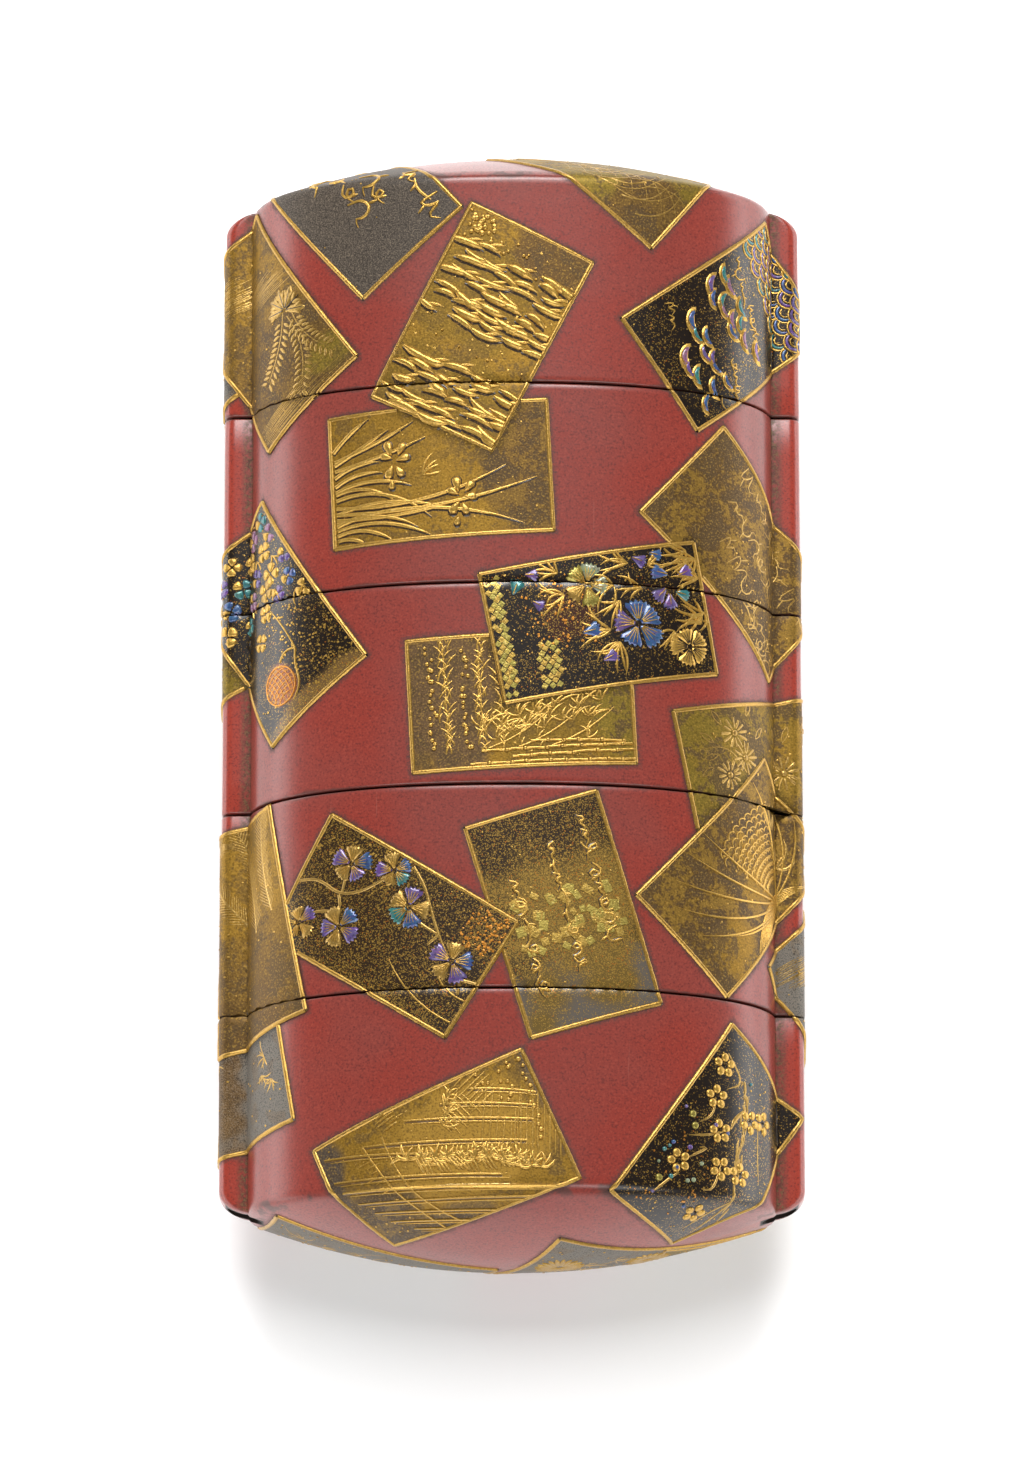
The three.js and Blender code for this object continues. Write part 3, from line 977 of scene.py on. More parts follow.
def pinks(b):
    """Ragged pinks on a dark ground, with leaves from one short side and cut gold squares."""
    for x, y, heading, count, length in PINK_LEAVES:
        b.tuft(x, y, heading, count + 2, 1.3 * length, 0.29, 95)
    pale = ["olive_shell", "lime", "wash", "lime", "olive_shell"]
    b.flower(-0.7, 3.3, 1.9, 5, "ragged", pale, "bright", 60)
    b.flower(3.1, -0.8, 2.2, 5, "ragged", ["blue", "blue", "violet", "blue", "blue"], "bright", 20)
    b.flower(7.4, -3.3, 1.8, 5, "ragged", "bright", "umber", 30)
    for x, y, size, heading, finish in PINK_PETALS:
        b.pad("ragged", x, y, size, size * 0.88, heading, finish)
        b.line([away(x, y, 0.1, heading), away(x, y, 0.7 * size, heading)], 0.12, (1, 0.4), "bright", 0.13)
    b.squares(-9.3, -5.4, -8.3, 5.2, 0.62)
    b.squares(-6.1, -5.2, -4.3, -1.2, 0.66)
    b.sprinkle(90, (0.12, 0.26), "amber", (-3.6, 1.0), (3.0, 3.4))
    b.sprinkle(120, (0.08, 0.2))


TWIGS = [
    [(-9.4, -0.4), (-7.6, 0.6), (-5.2, 0.2), (-3.4, 1.4), (-2.1, 3.6)],
    [(-5.2, 0.2), (-4.2, -1.0), (-6.2, -1.8), (-7.0, -2.6)], [(-5.7, 2.6), (-5.0, 0.4)],
    [(-0.6, 5.4), (1.2, 4.4), (2.6, 3.0), (4.4, 1.4), (5.8, 0.4)], [(1.2, 1.6), (3.2, 1.4), (4.4, 1.4)],
    [(4.4, 1.4), (4.0, 0.2)], [(8.0, -1.0), (9.4, -0.6)], [(8.0, -1.0), (8.6, -2.2)]]
# heart, size and turn of each flower on the twigs, and the finishes of its petals
TWIG_FLOWERS = [(-5.6, 3.0, 1.7, 40), (-1.9, 4.3, 1.5, 200), (-7.4, -3.5, 1.5, 60), (-3.7, -2.2, 1.7, 70),
                (0.9, 2.2, 1.8, 100), (6.6, 0.0, 1.8, 30)]
TWIG_PETALS = [["blue", "wash", "violet", "wash", "violet"], ["violet", "wash", "teal", "blue", "wash"]]


def branch_pinks(b):
    """Six shell flowers on bent twigs, over low hills of gold dust."""
    for points in TWIGS:
        b.line(soften(points), 0.36, (1, 0.7), "wash")
    for x, y, size, heading in TWIG_FLOWERS:
        colours = b.dice.choice(TWIG_PETALS)
        b.flower(x, y, size, 5, "ragged", colours, "bright", heading)
    b.line(bow((1.8, -2.5), (9.3, -4.6), -0.7), 0.2, (0.5, 1))
    b.line(bow((5.9, -1.4), (9.3, -2.4), -0.4), 0.2, (0.5, 1))
    b.sprinkle(120, (0.12, 0.28), "amber", (7.6, 3.6), (1.8, 2.0))
    b.sprinkle(60, (0.14, 0.26), "bright", (-5, 4.2), (4.4, 1.6))
    b.sprinkle(160, (0.08, 0.2))


PLUM_TRUNK = [(6.4, 1.9), (5.2, 0.9), (4.4, 0.4), (2.6, -0.6), (1.0, -1.2), (-1.0, -2.4), (-2.6, -3.2),
              (-5.2, -5.6)]
# width of each twig and its bends
PLUM_TWIGS = [
    (0.5, (4.4, 0.4), (3.0, 0.8), (2.0, 0.6)), (0.26, (7.2, 4.6), (6.2, 1.8), (4.6, 2.9)),
    (0.28, (3.2, 3.4), (1.8, 2.6), (0.4, 3.3)), (0.3, (1.6, 0.9), (0.2, 1.8), (-1.2, 3.4)),
    (0.3, (-1.4, 2.0), (-0.6, 1.2), (-3.0, 2.4)), (0.3, (-4.4, 2.2), (-5.6, 2.6), (-7.4, 3.0)),
    (0.3, (-1.0, -0.4), (-3.6, -1.2), (-4.2, -0.2)), (0.24, (-2.8, -3.4), (-5.0, -3.2), (-7.8, -3.6)),
    (0.2, (4.4, -1.6), (1.8, -3.4), (0.4, -4.6)), (0.3, (-2.2, -3.0), (-4.2, -4.0), (-7.4, -5.2))]
PLUM_BLOSSOMS = [(6.1, 4.3), (3.3, 3.3), (1.1, 1.3), (-3.6, 2.8), (-1.5, -0.6), (-0.6, -2.4), (4.0, -0.6),
                 (5.2, -1.9), (-6.1, -2.2)]
BARK_STROKES = 44


def plum(b):
    """Round plum blossoms on a gnarled trunk and its twigs."""
    stem = soften(PLUM_TRUNK)
    for _ in range(BARK_STROKES):
        start = b.dice.randrange(len(stem) - 9)
        shift = np.array([b.dice.uniform(-0.1, 0.1), b.dice.uniform(-0.42, 0.42)])
        b.line(stem[start:start + b.dice.randrange(5, 9)] + shift, 0.3, (0.5, 0.4), "wash")
    for width, *points in PLUM_TWIGS:
        b.line(soften(points), width, (0.7, 0.4), "wash")
    for x, y in PLUM_BLOSSOMS:
        turned = b.dice.uniform(0, 72)
        for i in range(5):
            spot = away(x, y, 0.26, turned + 72 * i)
            b.pad("dot", *spot, 0.86, 0.78, turned + 72 * i, "bright", 0.14)
        b.dots([(x, y)], (0.24, 0.24), 0.02, "umber")
    b.dots([(-6.3, 3.3), (-0.5, 3.4), (0.2, 4.1)], (0.66, 0.72), 0.05, "lime")
    for finish in ("blue", "violet", "teal", "olive_shell"):
        b.dots([(b.dice.uniform(-8, 7), b.dice.uniform(-1, 5)) for _ in range(4)], (0.3, 0.5), 0.2, finish)
    b.sprinkle(40, (0.1, 0.2), "amber", (-5, 1.0), (4, 4))
    b.sprinkle(110, (0.08, 0.18))


NIGHT_BLOOMS = [
    (-8.2, 4.6), (-6.4, 5.0), (-3.4, 5.2), (-1.4, 4.4), (-8.0, 2.6), (-5.6, 3.4), (-3.2, 3.0), (-1.0, 2.6),
    (-6.8, 1.0), (-4.6, 1.2), (-2.4, 1.6), (-8.0, -0.8), (-5.8, -1.2), (-3.6, -0.6), (-7.2, -2.8),
    (-4.8, -3.2), (-2.4, -2.4), (-0.8, 0.4), (-6.0, -4.8), (-3.2, -4.8), (0.6, 5.0), (0.8, -1.6)]
BASKET = (5.9, -2.0)                   # its middle
BASKET_SIZE = 1.75                     # half of its width


def night_flowers(b):
    """A bank of shell and gold flowers over a round basket."""
    for x, y in NIGHT_BLOOMS:
        finish = b.dice.choice(["teal", "violet", "blue", "bright", "bright", "wash", "pink", "lime"])
        b.flower(x, y, b.dice.uniform(0.8, 1.05), 4, "petal", [finish, finish, "bright", finish], None,
                 b.dice.uniform(0, 90))
    for x, y, heading in ((-6, 2, 0), (-3, -1, 30), (-1.4, 2.6, -20), (0.2, 4.2, 10), (-4.5, 4, 0)):
        b.tuft(x, y, heading, 3, 1.4, 0.2, 90)
    b.line(bow((-0.6, 1.0), (4.4, 1.2), 0.2), 0.2, (0.4, 1))
    rim = [away(*BASKET, BASKET_SIZE, angle) for angle in np.linspace(0, 360, 25)]
    b.line(rim, 0.2, (1, 1), "amber")
    x, y = BASKET
    for i in range(7):
        across = -1.35 + 0.45 * i
        reach = math.sqrt(max(BASKET_SIZE ** 2 - across ** 2, 0.1))
        for start, end in (((x + across, y - reach), (x + across, y + reach)),
                           ((x - reach, y + across), (x + reach, y + across))):
            b.line(bow(start, end, 0.35, 10), 0.14, (0.6, 0.6), "amber")
    b.line(bow((4.2, -0.8), (4.4, 1.2), 0.4), 0.24, (1, 1))
    b.line(soften([(4.4, 1.2), (5.4, 0.4), (7.4, -0.2), (8.0, -1.6)]), 0.24, (1, 0.6))
    b.sprinkle(150, (0.12, 0.24), "bright", (4.6, 2.6), (4.6, 3.0))
    b.sprinkle(60, (0.1, 0.2))


MUM_HEADS = [(-3.9, 3.4, 1.35), (-3.1, 1.2, 1.35), (-5.2, -0.2, 1.25), (2.9, -0.3, 1.5), (6.8, 3.2, 1.2)]
MUM_LEAVES = [(-6.3, 2.7, 140), (-6.1, 1.6, 190), (-5.2, 4.2, 120), (-2.2, 4.8, 60), (2.2, 2.2, 100),
              (3.4, 2.4, 60), (-6.8, 0.6, 210), (-1.4, 2.8, 40)]


def mums(b):
    """Painted chrysanthemums with narrow petals and oval leaves."""
    for x, y, size in MUM_HEADS:
        for i in range(12):
            heading = 30 * i + b.dice.uniform(-5, 5)
            foot = away(x, y, 0.42, heading)
            b.line([foot, away(*foot, size * b.dice.uniform(0.6, 0.8), heading)], 0.34, (0.4, 0.9), "wash")
        b.pad("dot", x - 0.3, y, 0.6, 0.6, 0, "wash", 0.14)
    for x, y, heading in MUM_LEAVES:
        for sag in (0.24, -0.24):
            b.line(bow((x, y), away(x, y, 1.5, heading), sag, 8), 0.16, (0.6, 0.6), "wash")
    b.line(soften([(-7.8, 2.2), (-5.6, 2.4), (-4.0, 1.4), (-2.2, -2.0)]), 0.16, (0.6, 1), "wash")
    b.sprinkle(40, (0.1, 0.2))


def great_mum(b):
    b.flower(-6.7, 0.6, 2.2, 20, "leaf", "wash", None)
    b.flower(0.6, 3.0, 1.9, 18, "leaf", "wash", None, 12)
    b.line(bow((-7.6, -2), (0, -1), 0.8), 0.16, (1, 0.5), "wash")
    faint_sprigs(b)


# %% Script, shells and lines
def script_large(b):
    """Loose columns of script that run down the case."""
    for x, y, length in ((-1.3, -0.1, 5.0), (0.6, 2.0, 2.4), (3.2, 4.9, 3.6), (-4.8, -1.4, 2.6),
                         (-7.6, 3.6, 3.0)):
        b.script(x, y, length, 1.8, -12 + b.dice.uniform(-5, 5), 0.34, "umber")
    b.sprinkle(20, (0.08, 0.14))


def script(b):
    """Three columns over a band of cut squares."""
    for _ in range(64):
        x, y, wide = b.dice.uniform(-2.9, 2.6), b.dice.uniform(-4.6, 4.8), b.dice.uniform(0.6, 1.0)
        b.pad("square", x, y, wide, wide * b.dice.uniform(0.7, 1), b.dice.choice([0, 20, 45, -20]),
              b.dice.choice(["lime_leaf", "leaf_gold"]), 0.06)
    for x, y, length in ((-7.9, 3.9, 10.5), (-6.3, 0.6, 10.5), (-4.0, -3.2, 9.5)):
        b.script(x, y, length, 1.42, b.dice.uniform(-3, 3), 0.32, "umber")
    b.sprinkle(60, (0.12, 0.24), "bright", (-0.4, 0.4), (2.6, 4.6))
    b.sprinkle(40, (0.08, 0.18))


def script_faint(b):
    for x, y, length in ((-5.6, 4.9, 8), (-4.6, 1.8, 9), (-2.8, -1.4, 10), (1.2, 3.2, 7), (2.4, -4.0, 7)):
        b.script(x, y, length, 1.8, -12 + b.dice.uniform(-4, 4), 0.22, finish="wash")
    b.sprinkle(60, (0.08, 0.2), "bright", (3, -3), (6, 3))


def shell_moon(b, x, y, size, heading):
    """A crescent of shell in a gold rim, with one gold line along it."""
    b.pad("moon", x, y, 1.1 * size, size * 0.8, heading, "bright", 0.09)
    inner = away(x, y, 0.13 * size, heading)
    shell = b.dice.choice(["violet", "blue", "pink", "teal"])
    b.pad("moon", *inner, size * 0.8, size * 0.55, heading, shell, 0.15)
    start, end = away(x, y, 0.2 * size, heading), away(x, y, 0.8 * size, heading)
    b.line(bow(start, end, -0.16 * size, 8), 0.09, (0.5, 0.5), "bright", 0.16)


# foot, size and turn of each crescent
CRESCENTS = [
    (0.4, 5.2, 2.3, -20), (1.4, 4.3, 2.1, 10), (0.6, 3.2, 1.9, -30), (-0.6, 2.6, 1.7, 15),
    (0.2, 1.6, 2.0, -10), (-1.0, 0.8, 1.9, 20), (0.4, -0.4, 2.1, -5), (1.2, -1.8, 2.2, 0),
    (-3.4, 3.6, 2.4, -10), (-4.4, 2.2, 1.8, 15), (-5.8, 1.2, 2.4, -15), (-4.8, 0.4, 1.9, 20),
    (-6.0, -0.8, 2.1, -10), (-4.6, -1.0, 1.8, 25), (-5.4, -2.4, 2.0, 0), (-4.2, -2.8, 1.7, 20),
    (-6.6, -3.4, 1.9, -20), (-5.4, -4.2, 1.8, 5), (1.6, 5.4, 2.2, 5), (-0.4, 4.0, 1.9, -15),
    (1.4, 2.2, 2.1, 10), (1.0, 0.8, 1.8, -20), (-3.4, 1.6, 1.9, 5), (-3.8, -0.4, 1.8, -10),
    (-6.8, 0.0, 1.8, 10), (-3.4, -4.0, 1.7, 0)]


def scales(b):
    """Shell crescents blown across a dark ground above a bank of net scales."""
    for x, y, size, turned in CRESCENTS:
        shell_moon(b, x, y, 1.1 * size, -112 + turned)
    for x, y, length in ((3.6, 5.0, 4), (2.6, 0.8, 4), (-5.0, 4.8, 1.5), (-2.4, -2.2, 3)):
        b.script(x, y, length, 1.1, -115)
    for row in range(6):
        for step in range(7):
            x, y = 5.6 + 0.9 * row + b.dice.uniform(-0.15, 0.15), -5.6 + 1.75 * step + 0.9 * (row % 2)
            colour = b.dice.choice(["violet", "blue", "teal", "violet"])
            for radius, width, finish in ((0.95, 0.2, "bright"), (0.7, 0.32, colour), (0.42, 0.18, "bright")):
                arc = [away(x, y, radius, angle) for angle in np.linspace(95, 265, 8)]
                b.line(arc, width, (0.5, 0.5), finish)
    b.sprinkle(60, (0.08, 0.16))


def sheaf(b):
    """A sheaf of cut grass that stands on a mound, with bent blades on both sides."""
    foot = (2.6, -4.4)
    for tip, sag in (((-7.6, 2.6), 1.4), ((-6.0, 4.4), 1.0), ((-3.4, 5.2), 0.9), ((-7.8, -0.4), 1.2),
                     ((6.6, 5.4), -1.0), ((8.8, 2.4), -1.2), ((-5.2, -2.6), 0.8), ((9.2, -0.6), -0.8),
                     ((-1.0, 5.4), 0.7)):
        b.line(bow(foot, tip, sag, 24), 0.26, (1, 0.2))
    for ring in range(11):
        for i in range(9):
            x, y = away(*foot, 1.8 + 0.62 * ring, 62 + 6.4 * i + 3.2 * (ring % 2) + b.dice.uniform(-1.5, 1.5))
            arc = [away(x, y, 0.5, 62 + 6.4 * i + angle) for angle in (-75, -35, 0, 35, 75)]
            b.line(arc, 0.17, (0.6, 0.6))
    for i in range(9):
        rim = bow((-3.6 + 0.34 * i, -5.6), (5.8 - 0.3 * i, -5.4 + 0.06 * i), 1.9 - 0.2 * i, 22)
        b.line(rim, 0.19, (0.6, 0.6))
    b.tuft(6.4, 0.6, 60, 5, 2.6, 0.4, 80, "wash")
    b.tuft(5.0, -2.6, 20, 4, 2.8, 0.4, 70, "wash")
    b.sprinkle(60, (0.1, 0.24))


# start, length and drop of the lines of the shore
SHORE_LINES = [
    ((-9.0, 4.6), 9.0, 0), ((-5.6, 4.0), 13.6, 1), ((-1.6, 4.4), 10.6, 0), ((1.6, 4.4), 7.6, -1),
    ((4.2, 4.6), 5.6, -3), ((-9.0, 2.4), 14.0, 1), ((-8.8, 1.2), 18.6, 1), ((-8.4, -0.2), 17.6, 2),
    ((-7.8, -1.6), 15.4, 1), ((-7.2, -3.0), 11.0, 1), ((-5.8, -4.6), 8.0, 0)]


def bridge(b):
    """Roofs and trees on a shore, in lines that run level across the card."""
    level = -24
    for start, length, drop in SHORE_LINES:
        curve = bow(start, away(*start, length, level + drop), 0.12, 30)
        # Painted shadow: a dark brown line lies just below each level line.
        b.line(curve - np.array([0.05, 0.14]), 0.3, (0.6, 1), "shadow_brown")
        b.line(curve, 0.28, (0.6, 1))
        b.line(curve + np.array([0.4, -0.5]), 0.2, (0.4, 0.4))
    for i in range(6):
        x, y = away(-1.9, 1.0, 1.25 * i, level + 3)
        for step in range(3):
            roof = away(x, y, 0.34 * step, level)
            b.line([roof, away(*roof, 1.5, level - 62 + 8 * (i % 3))], 0.36, (1, 0.5))
            b.line([away(*roof, 0.3, level), away(*roof, 1.1, level + 64)], 0.3, (1, 0.4))
        b.line([away(x, y, -0.4, level), away(x, y, 1.4, level + 20)], 0.3, (0.8, 0.8))
    for strokes in ((8.8, -3.8, 66, 9, 0.46, 6.4, 0.24), (5.6, -2.0, 62, 6, 0.56, 5.2, 0.22),
                    (3.4, 2.6, 20, 7, 0.42, 3.6, 0.24), (1.0, 3.4, -70, 8, 0.4, 2.6, 0.22),
                    (-3.4, 4.4, 10, 6, 0.3, 1.9, 0.26)):
        b.hatch(*strokes, "bright")
    for i in range(5):
        b.tuft(2.4 - 0.3 * i, 4.6 - 0.5 * i, 20, 5, 1.3, 0.3, 120)
        b.tuft(4.6 + 0.6 * i, -2.4 - 0.34 * i, 70, 6, 1.5, 0.4, 140)
        b.tuft(-1.2 + 0.9 * i, 0.2 - 0.4 * i, 66, 5, 1.1, 0.34, 150)
    b.dots([(9.0 - 0.1 * i, 5.2 - 0.62 * i) for i in range(12)], (0.34, 0.5), 0.16)
    for i in range(9):
        x, y = away(-2.6, 1.3, 1.1 * i, level)
        b.tuft(x, y, 55 + b.dice.uniform(-30, 30), 5, b.dice.uniform(1.1, 1.7), 0.42, 160)
    crown = [(7.6, 5.0), (6.8, 4.8), (6.0, 4.0), (7.4, 3.4), (5.0, 5.0), (6.6, 2.4)]
    b.dots(crown * 3, (0.26, 0.42), 0.34)
    ridge = [(x, -2.4 - 0.445 * x) for x in (-2.6, 0.6, 3.6, 6.8)]    # painted highlight, with a bright line beside it, where the card bends over
    b.line(ridge, 0.46, (0.1, 0.05), "ridge_highlight")
    b.line([(x + 1.2, y - 0.66) for x, y in ridge], 0.3, (0.1, 0.05))
    for x, sag in ((-5.6, 0.3), (-3.8, 0.9)):
        b.line(bow((x, 4.0), (x + 2.6, -5.6), -sag, 26), 0.24, (1, 1))
    b.hatch(-6.2, 2.6, 0, 7, -0.5, 1.2, 0.16, "bright")
    b.sprinkle(60, (0.08, 0.2))


PICTURES = {picture.__name__: picture for picture in (
    iris, wave_clumps, fine_grass, reeds, leaf_spray, fern, sprigs, faint_sprigs, pinks, branch_pinks,
    plum, night_flowers, mums, great_mum, script_large, script, script_faint, scales, sheaf, bridge)}
brushes = []
for card in cards:
    brush = Brush(card)
    brush.border()
    PICTURES[card.picture](brush)
    brushes.append(brush)
print(sum(len(b.lines) for b in brushes), "brush lines and", sum(len(b.stamps) for b in brushes), "pads")

# %% [markdown]
# ## Laying the cards and the raised work
#
# Each card is a grid that is wrapped onto the skin and given a little thickness, since
# the ground of a picture is itself a few coats of lacquer and gold powder. The raised work
# is lofted straight along the skin, because a bevelled curve would stand as high as it is
# wide, and raised lacquer is much lower than that. All of it is cut where the case opens.

# %% Wrap the card grounds
SHEET_STEPS = (50, 32)
SHEET_DEPTH = 0.16 * MM                # how far a card's ground reaches into the skin
PAINT = {
    "black": (0.010, 0.006, 0.004), "umber": (0.026, 0.014, 0.006), "brown": (0.125, 0.070, 0.024),
    "gold": (0.275, 0.152, 0.021), "bright": (0.58, 0.345, 0.068), "wash": (0.42, 0.255, 0.060),
    "border": (0.46, 0.265, 0.050), "olive": (0.212, 0.146, 0.023), "lime": (0.34, 0.28, 0.06),
    "grey": (0.155, 0.140, 0.118), "blue": (0.045, 0.085, 0.25), "violet": (0.16, 0.06, 0.25),
    "teal": (0.03, 0.20, 0.16), "rust": (0.24, 0.055, 0.02), "charcoal": (0.070, 0.055, 0.042),
    "pink": (0.36, 0.13, 0.20), "amber": (0.60, 0.24, 0.03), "olive_shell": (0.36, 0.38, 0.16),
    "lime_leaf": (0.46, 0.35, 0.075), "leaf_gold": (0.50, 0.32, 0.065), "slate": (0.105, 0.088, 0.070),
    "rust_glow": (0.036, 0.009, 0.003), "dusty": (0.135, 0.080, 0.038), "leaf": (0.13, 0.080, 0.016),
    "grey_brown": (0.10, 0.075, 0.055), "bright_gold": (0.37, 0.21, 0.034),
    # On this line the dark brown is painted shadow beside the bridge card's lines, and the pale gold a
    # painted highlight on that card's ridge.
    "shadow_brown": (0.115, 0.062, 0.016), "ridge_highlight": (0.92, 0.64, 0.24), "old_gold": (0.205, 0.120, 0.018),
}
# ground: slot kind, colour at one short side, colour at the other, gold dust
GROUNDS = {
    "gold": ("gold", "gold", "gold", 0.7), "olive": ("gold", "olive", "olive", 0.8),
    "brown": ("gold", "brown", "brown", 1.7), "streaked": ("gold", "gold", "brown", 0.8),
    "mottled": ("gold", "olive", "gold", 1.0),
    "night": ("black", "black", "black", 0.35), "dusk": ("black", "umber", "umber", 1.5),
    "charcoal": ("grey", "charcoal", "charcoal", 0.0), "grey": ("grey", "grey", "grey", 0.4),
    "zones": ("black", "umber", "umber", 1.5),
}
# Broad areas of another colour on a card: x, y, half width, half height, colour, dust, softness
AREAS = {
    "iris": [(-3.5, 0.5, 5.5, 4.5, "gold", 0.3), (9.5, 0, 5.5, 9, "brown", 1.3)],
    "waves": [(2.4, 1.5, 5.6, 5.0, "old_gold", 0.3), (-7.0, 0, 4.0, 7, "old_gold", 0.4),
              (8.9, -3.4, 3.0, 5, "brown", 0.8)],
    "spray": [(3.5, -0.5, 3.4, 6, "brown", 1.2), (7.4, 5, 1.5, 4, "olive", 0.5)],
    "grass_top": [(7, -4, 3.4, 4, "brown", 1.2)],
    "pinks": [(-2.6, 1.2, 3.0, 2.2, "rust_glow", 1.2)],
    "reeds": [(-6, 0, 5.0, 7, "dusty", 0.8), (2.5, -2, 5.4, 4.4, "old_gold", 0.4),
              (8.6, -1, 2.4, 5, "olive", 1.0)],
    "basket": [(5.9, -2.0, 1.7, 1.7, "rust", 1.3), (8.9, 0, 0.9, 6, "brown", 1.6)],
    "branch": [(3, -7, 9, 2.4, "umber", 2.6), (8.5, 4, 2.5, 3, "umber", 2.4)],
    "verse": [(-0.6, 0, 4.2, 12, "leaf", 4.0, 0.8), (10.2, 0, 6.2, 12, "slate", 0.5, 0.12),
              (6.6, 2.0, 2.6, 2.2, "leaf", 1.6, 0.5), (8.6, -4.6, 1.2, 1.4, "leaf", 1.0, 0.6),
              (3.6, 1.5, 2.4, 3.4, "leaf", 3.0, 0.9), (6.0, -3.5, 2.4, 1.6, "leaf", 2.0, 0.9)],
    "fern": [(-5, 0, 4.4, 9, "gold", 0.5)],
    "sprigs": [(0, -5.4, 12, 4.4, "brown", 1.0)],
    "bridge": [(-9.8, 4, 2.2, 5, "grey_brown", 0.5), (-6.0, -5.4, 7, 1.3, "grey_brown", 0.5),
               (9.6, 2, 0.7, 6, "grey_brown", 0.5), (2.6, 0.2, 7.2, 4.6, "bright_gold", 0.1),
               (-7.6, -2.6, 3.4, 2.6, "grey_brown", 1.4, 0.6),
               (-2.4, -5.0, 4.4, 1.3, "grey_brown", 1.4, 0.6)],
    "sheaf": [(-5.8, -3.8, 2.6, 2.4, "gold", 0.9), (2.0, -0.6, 3.4, 3.6, "gold", 0.9)],
}


def card_lift(card):
    return (0.03 + 0.035 * card.level) * MM


def lay_sheet(card):
    """A grid wrapped onto the skin, thickened, and painted at its corners, with painted shadow near a card on
    top.
    """
    deselect()
    bpy.ops.mesh.primitive_grid_add(x_subdivisions=SHEET_STEPS[0], y_subdivisions=SHEET_STEPS[1], size=1)
    sheet = bpy.context.object
    sheet.name = sheet.data.name = "card_" + card.name
    flat = np.array([vertex.co[:2] for vertex in sheet.data.vertices]) * (np.array(CARD) - 0.1)
    across, along = card.place(*flat.T)
    points = wrap(across, along, np.full(len(flat), card_lift(card)), card.end)
    for vertex, point in zip(sheet.data.vertices, points):
        vertex.co = point
    waver = 0.12 * np.sin(flat[:, 1] * 1.1) + 0.08 * np.sin(flat[:, 0] * 2.3 + 1)
    part = np.clip(flat[:, 0] / CARD[0] + 0.5 + waver, 0, 1)[:, None]
    _, first, last, dust = GROUNDS[card.ground]
    colour = np.array(PAINT[first]) * (1 - part) + np.array(PAINT[last]) * part
    dust = np.full(len(flat), dust)
    for x, y, wide, tall, finish, more, *soft in AREAS.get(card.name, []):
        reach = np.hypot((flat[:, 0] - x) / wide, (flat[:, 1] - y) / tall) + waver
        soft = soft[0] if soft else 0.24
        part = np.clip((1 + soft / 2 - reach) / soft, 0, 1)
        dust = dust * (1 - part) + more * part
        colour = colour * (1 - part[:, None]) + np.array(PAINT[finish]) * part[:, None]
    inwards = 1 if card.end > 0 else -1     # the grid faces inwards on the lid's dome
    apply_modifier(sheet, "SOLIDIFY", thickness=SHEET_DEPTH + card_lift(card), offset=inwards)
    # Painted shadow: the ground darkens close to the edge of any card that lies on top of it.
    shade = 1 - 0.75 * np.clip(1 - card_above(card, across, along) / 0.8, 0, 1)
    sides = len(sheet.data.vertices) // len(flat)
    ink = np.tile(np.column_stack([colour * shade[:, None], np.ones(len(flat))]), (sides, 1))
    paint = sheet.data.attributes.new("ink", "FLOAT_COLOR", "POINT")
    paint.data.foreach_set("color", ink.astype(np.float32).ravel())
    worth = sheet.data.attributes.new("dust", "FLOAT", "POINT")
    worth.data.foreach_set("value", np.tile(dust, sides).astype(np.float32))
    return sheet


def card_above(card, across, along):
    """How far the nearest card on top is from each place."""
    above = [other for other in cards[cards.index(card) + 1:] if other.end == card.end]
    nearest = np.full(np.shape(across), FAR)
    for other in above:
        nearest = np.minimum(nearest, other.outside(across, along))
    return nearest


sheets = {"gold": [], "black": [], "grey": []}
for card in cards:
    sheets[GROUNDS[card.ground][0]].append(lay_sheet(card))
print("grounds laid:", {kind: len(found) for kind, found in sheets.items()})


# %% Loft the brush lines and stamp the pads
SUNK = 0.06                            # how far raised work reaches into its ground
RELIEF_ANGLE = math.radians(50)        # sharper edges than this stay crisp


class Relief:
    """Collects raised work of one kind as plain corners, faces and colours."""

    def __init__(self):
        self.corners, self.faces, self.inks = [], [], []

    def add(self, corners, faces, ink):
        start = len(self.corners)
        self.corners += corners
        self.faces += [tuple(start + i for i in face) for face in faces]
        self.inks += [ink] * len(corners)

    def loft(self, run, card, ink, height, on):
        across, along, size = np.array(run).T
        centre = np.array(wrap(across, along, np.full(len(run), card_lift(card) + on * MM), card.end))
        normal = skin_normals(across, along, card.end)
        ahead = np.gradient(centre, axis=0)
        side = np.cross(ahead, normal)
        side /= np.maximum(np.linalg.norm(side, axis=1), 1e-12)[:, None]
        half = (size * MM / 2)[:, None]
        rise = normal * half * height
        section = [centre - side * half - normal * SUNK * MM, centre - side * half * 0.55 + rise * 0.8,
                   centre + rise, centre + side * half * 0.55 + rise * 0.8,
                   centre + side * half - normal * SUNK * MM]
        corners = [tuple(row[i]) for i in range(len(run)) for row in section]
        faces = [(5 * i + a, 5 * i + (a + 1) % 5, 5 * i + 5 + (a + 1) % 5, 5 * i + 5 + a)
                 for i in range(len(run) - 1) for a in range(5)]
        faces += [(4, 3, 2, 1, 0), tuple(5 * (len(run) - 1) + a for a in range(5))]
        self.add(corners, faces, ink)

    def stamp(self, card, shape, x, y, length, width, angle, rise, ink):
        corners, faces = PADS[shape]
        px, py = corners[:, 0] * length, corners[:, 1] * width
        across, along = card.place(x + px * math.cos(angle) - py * math.sin(angle),
                                   y + px * math.sin(angle) + py * math.cos(angle))
        lift = card_lift(card) + np.where(corners[:, 2] > 0, corners[:, 2] * rise, -SUNK) * MM
        self.add(wrap(across, along, lift, card.end), faces, ink)


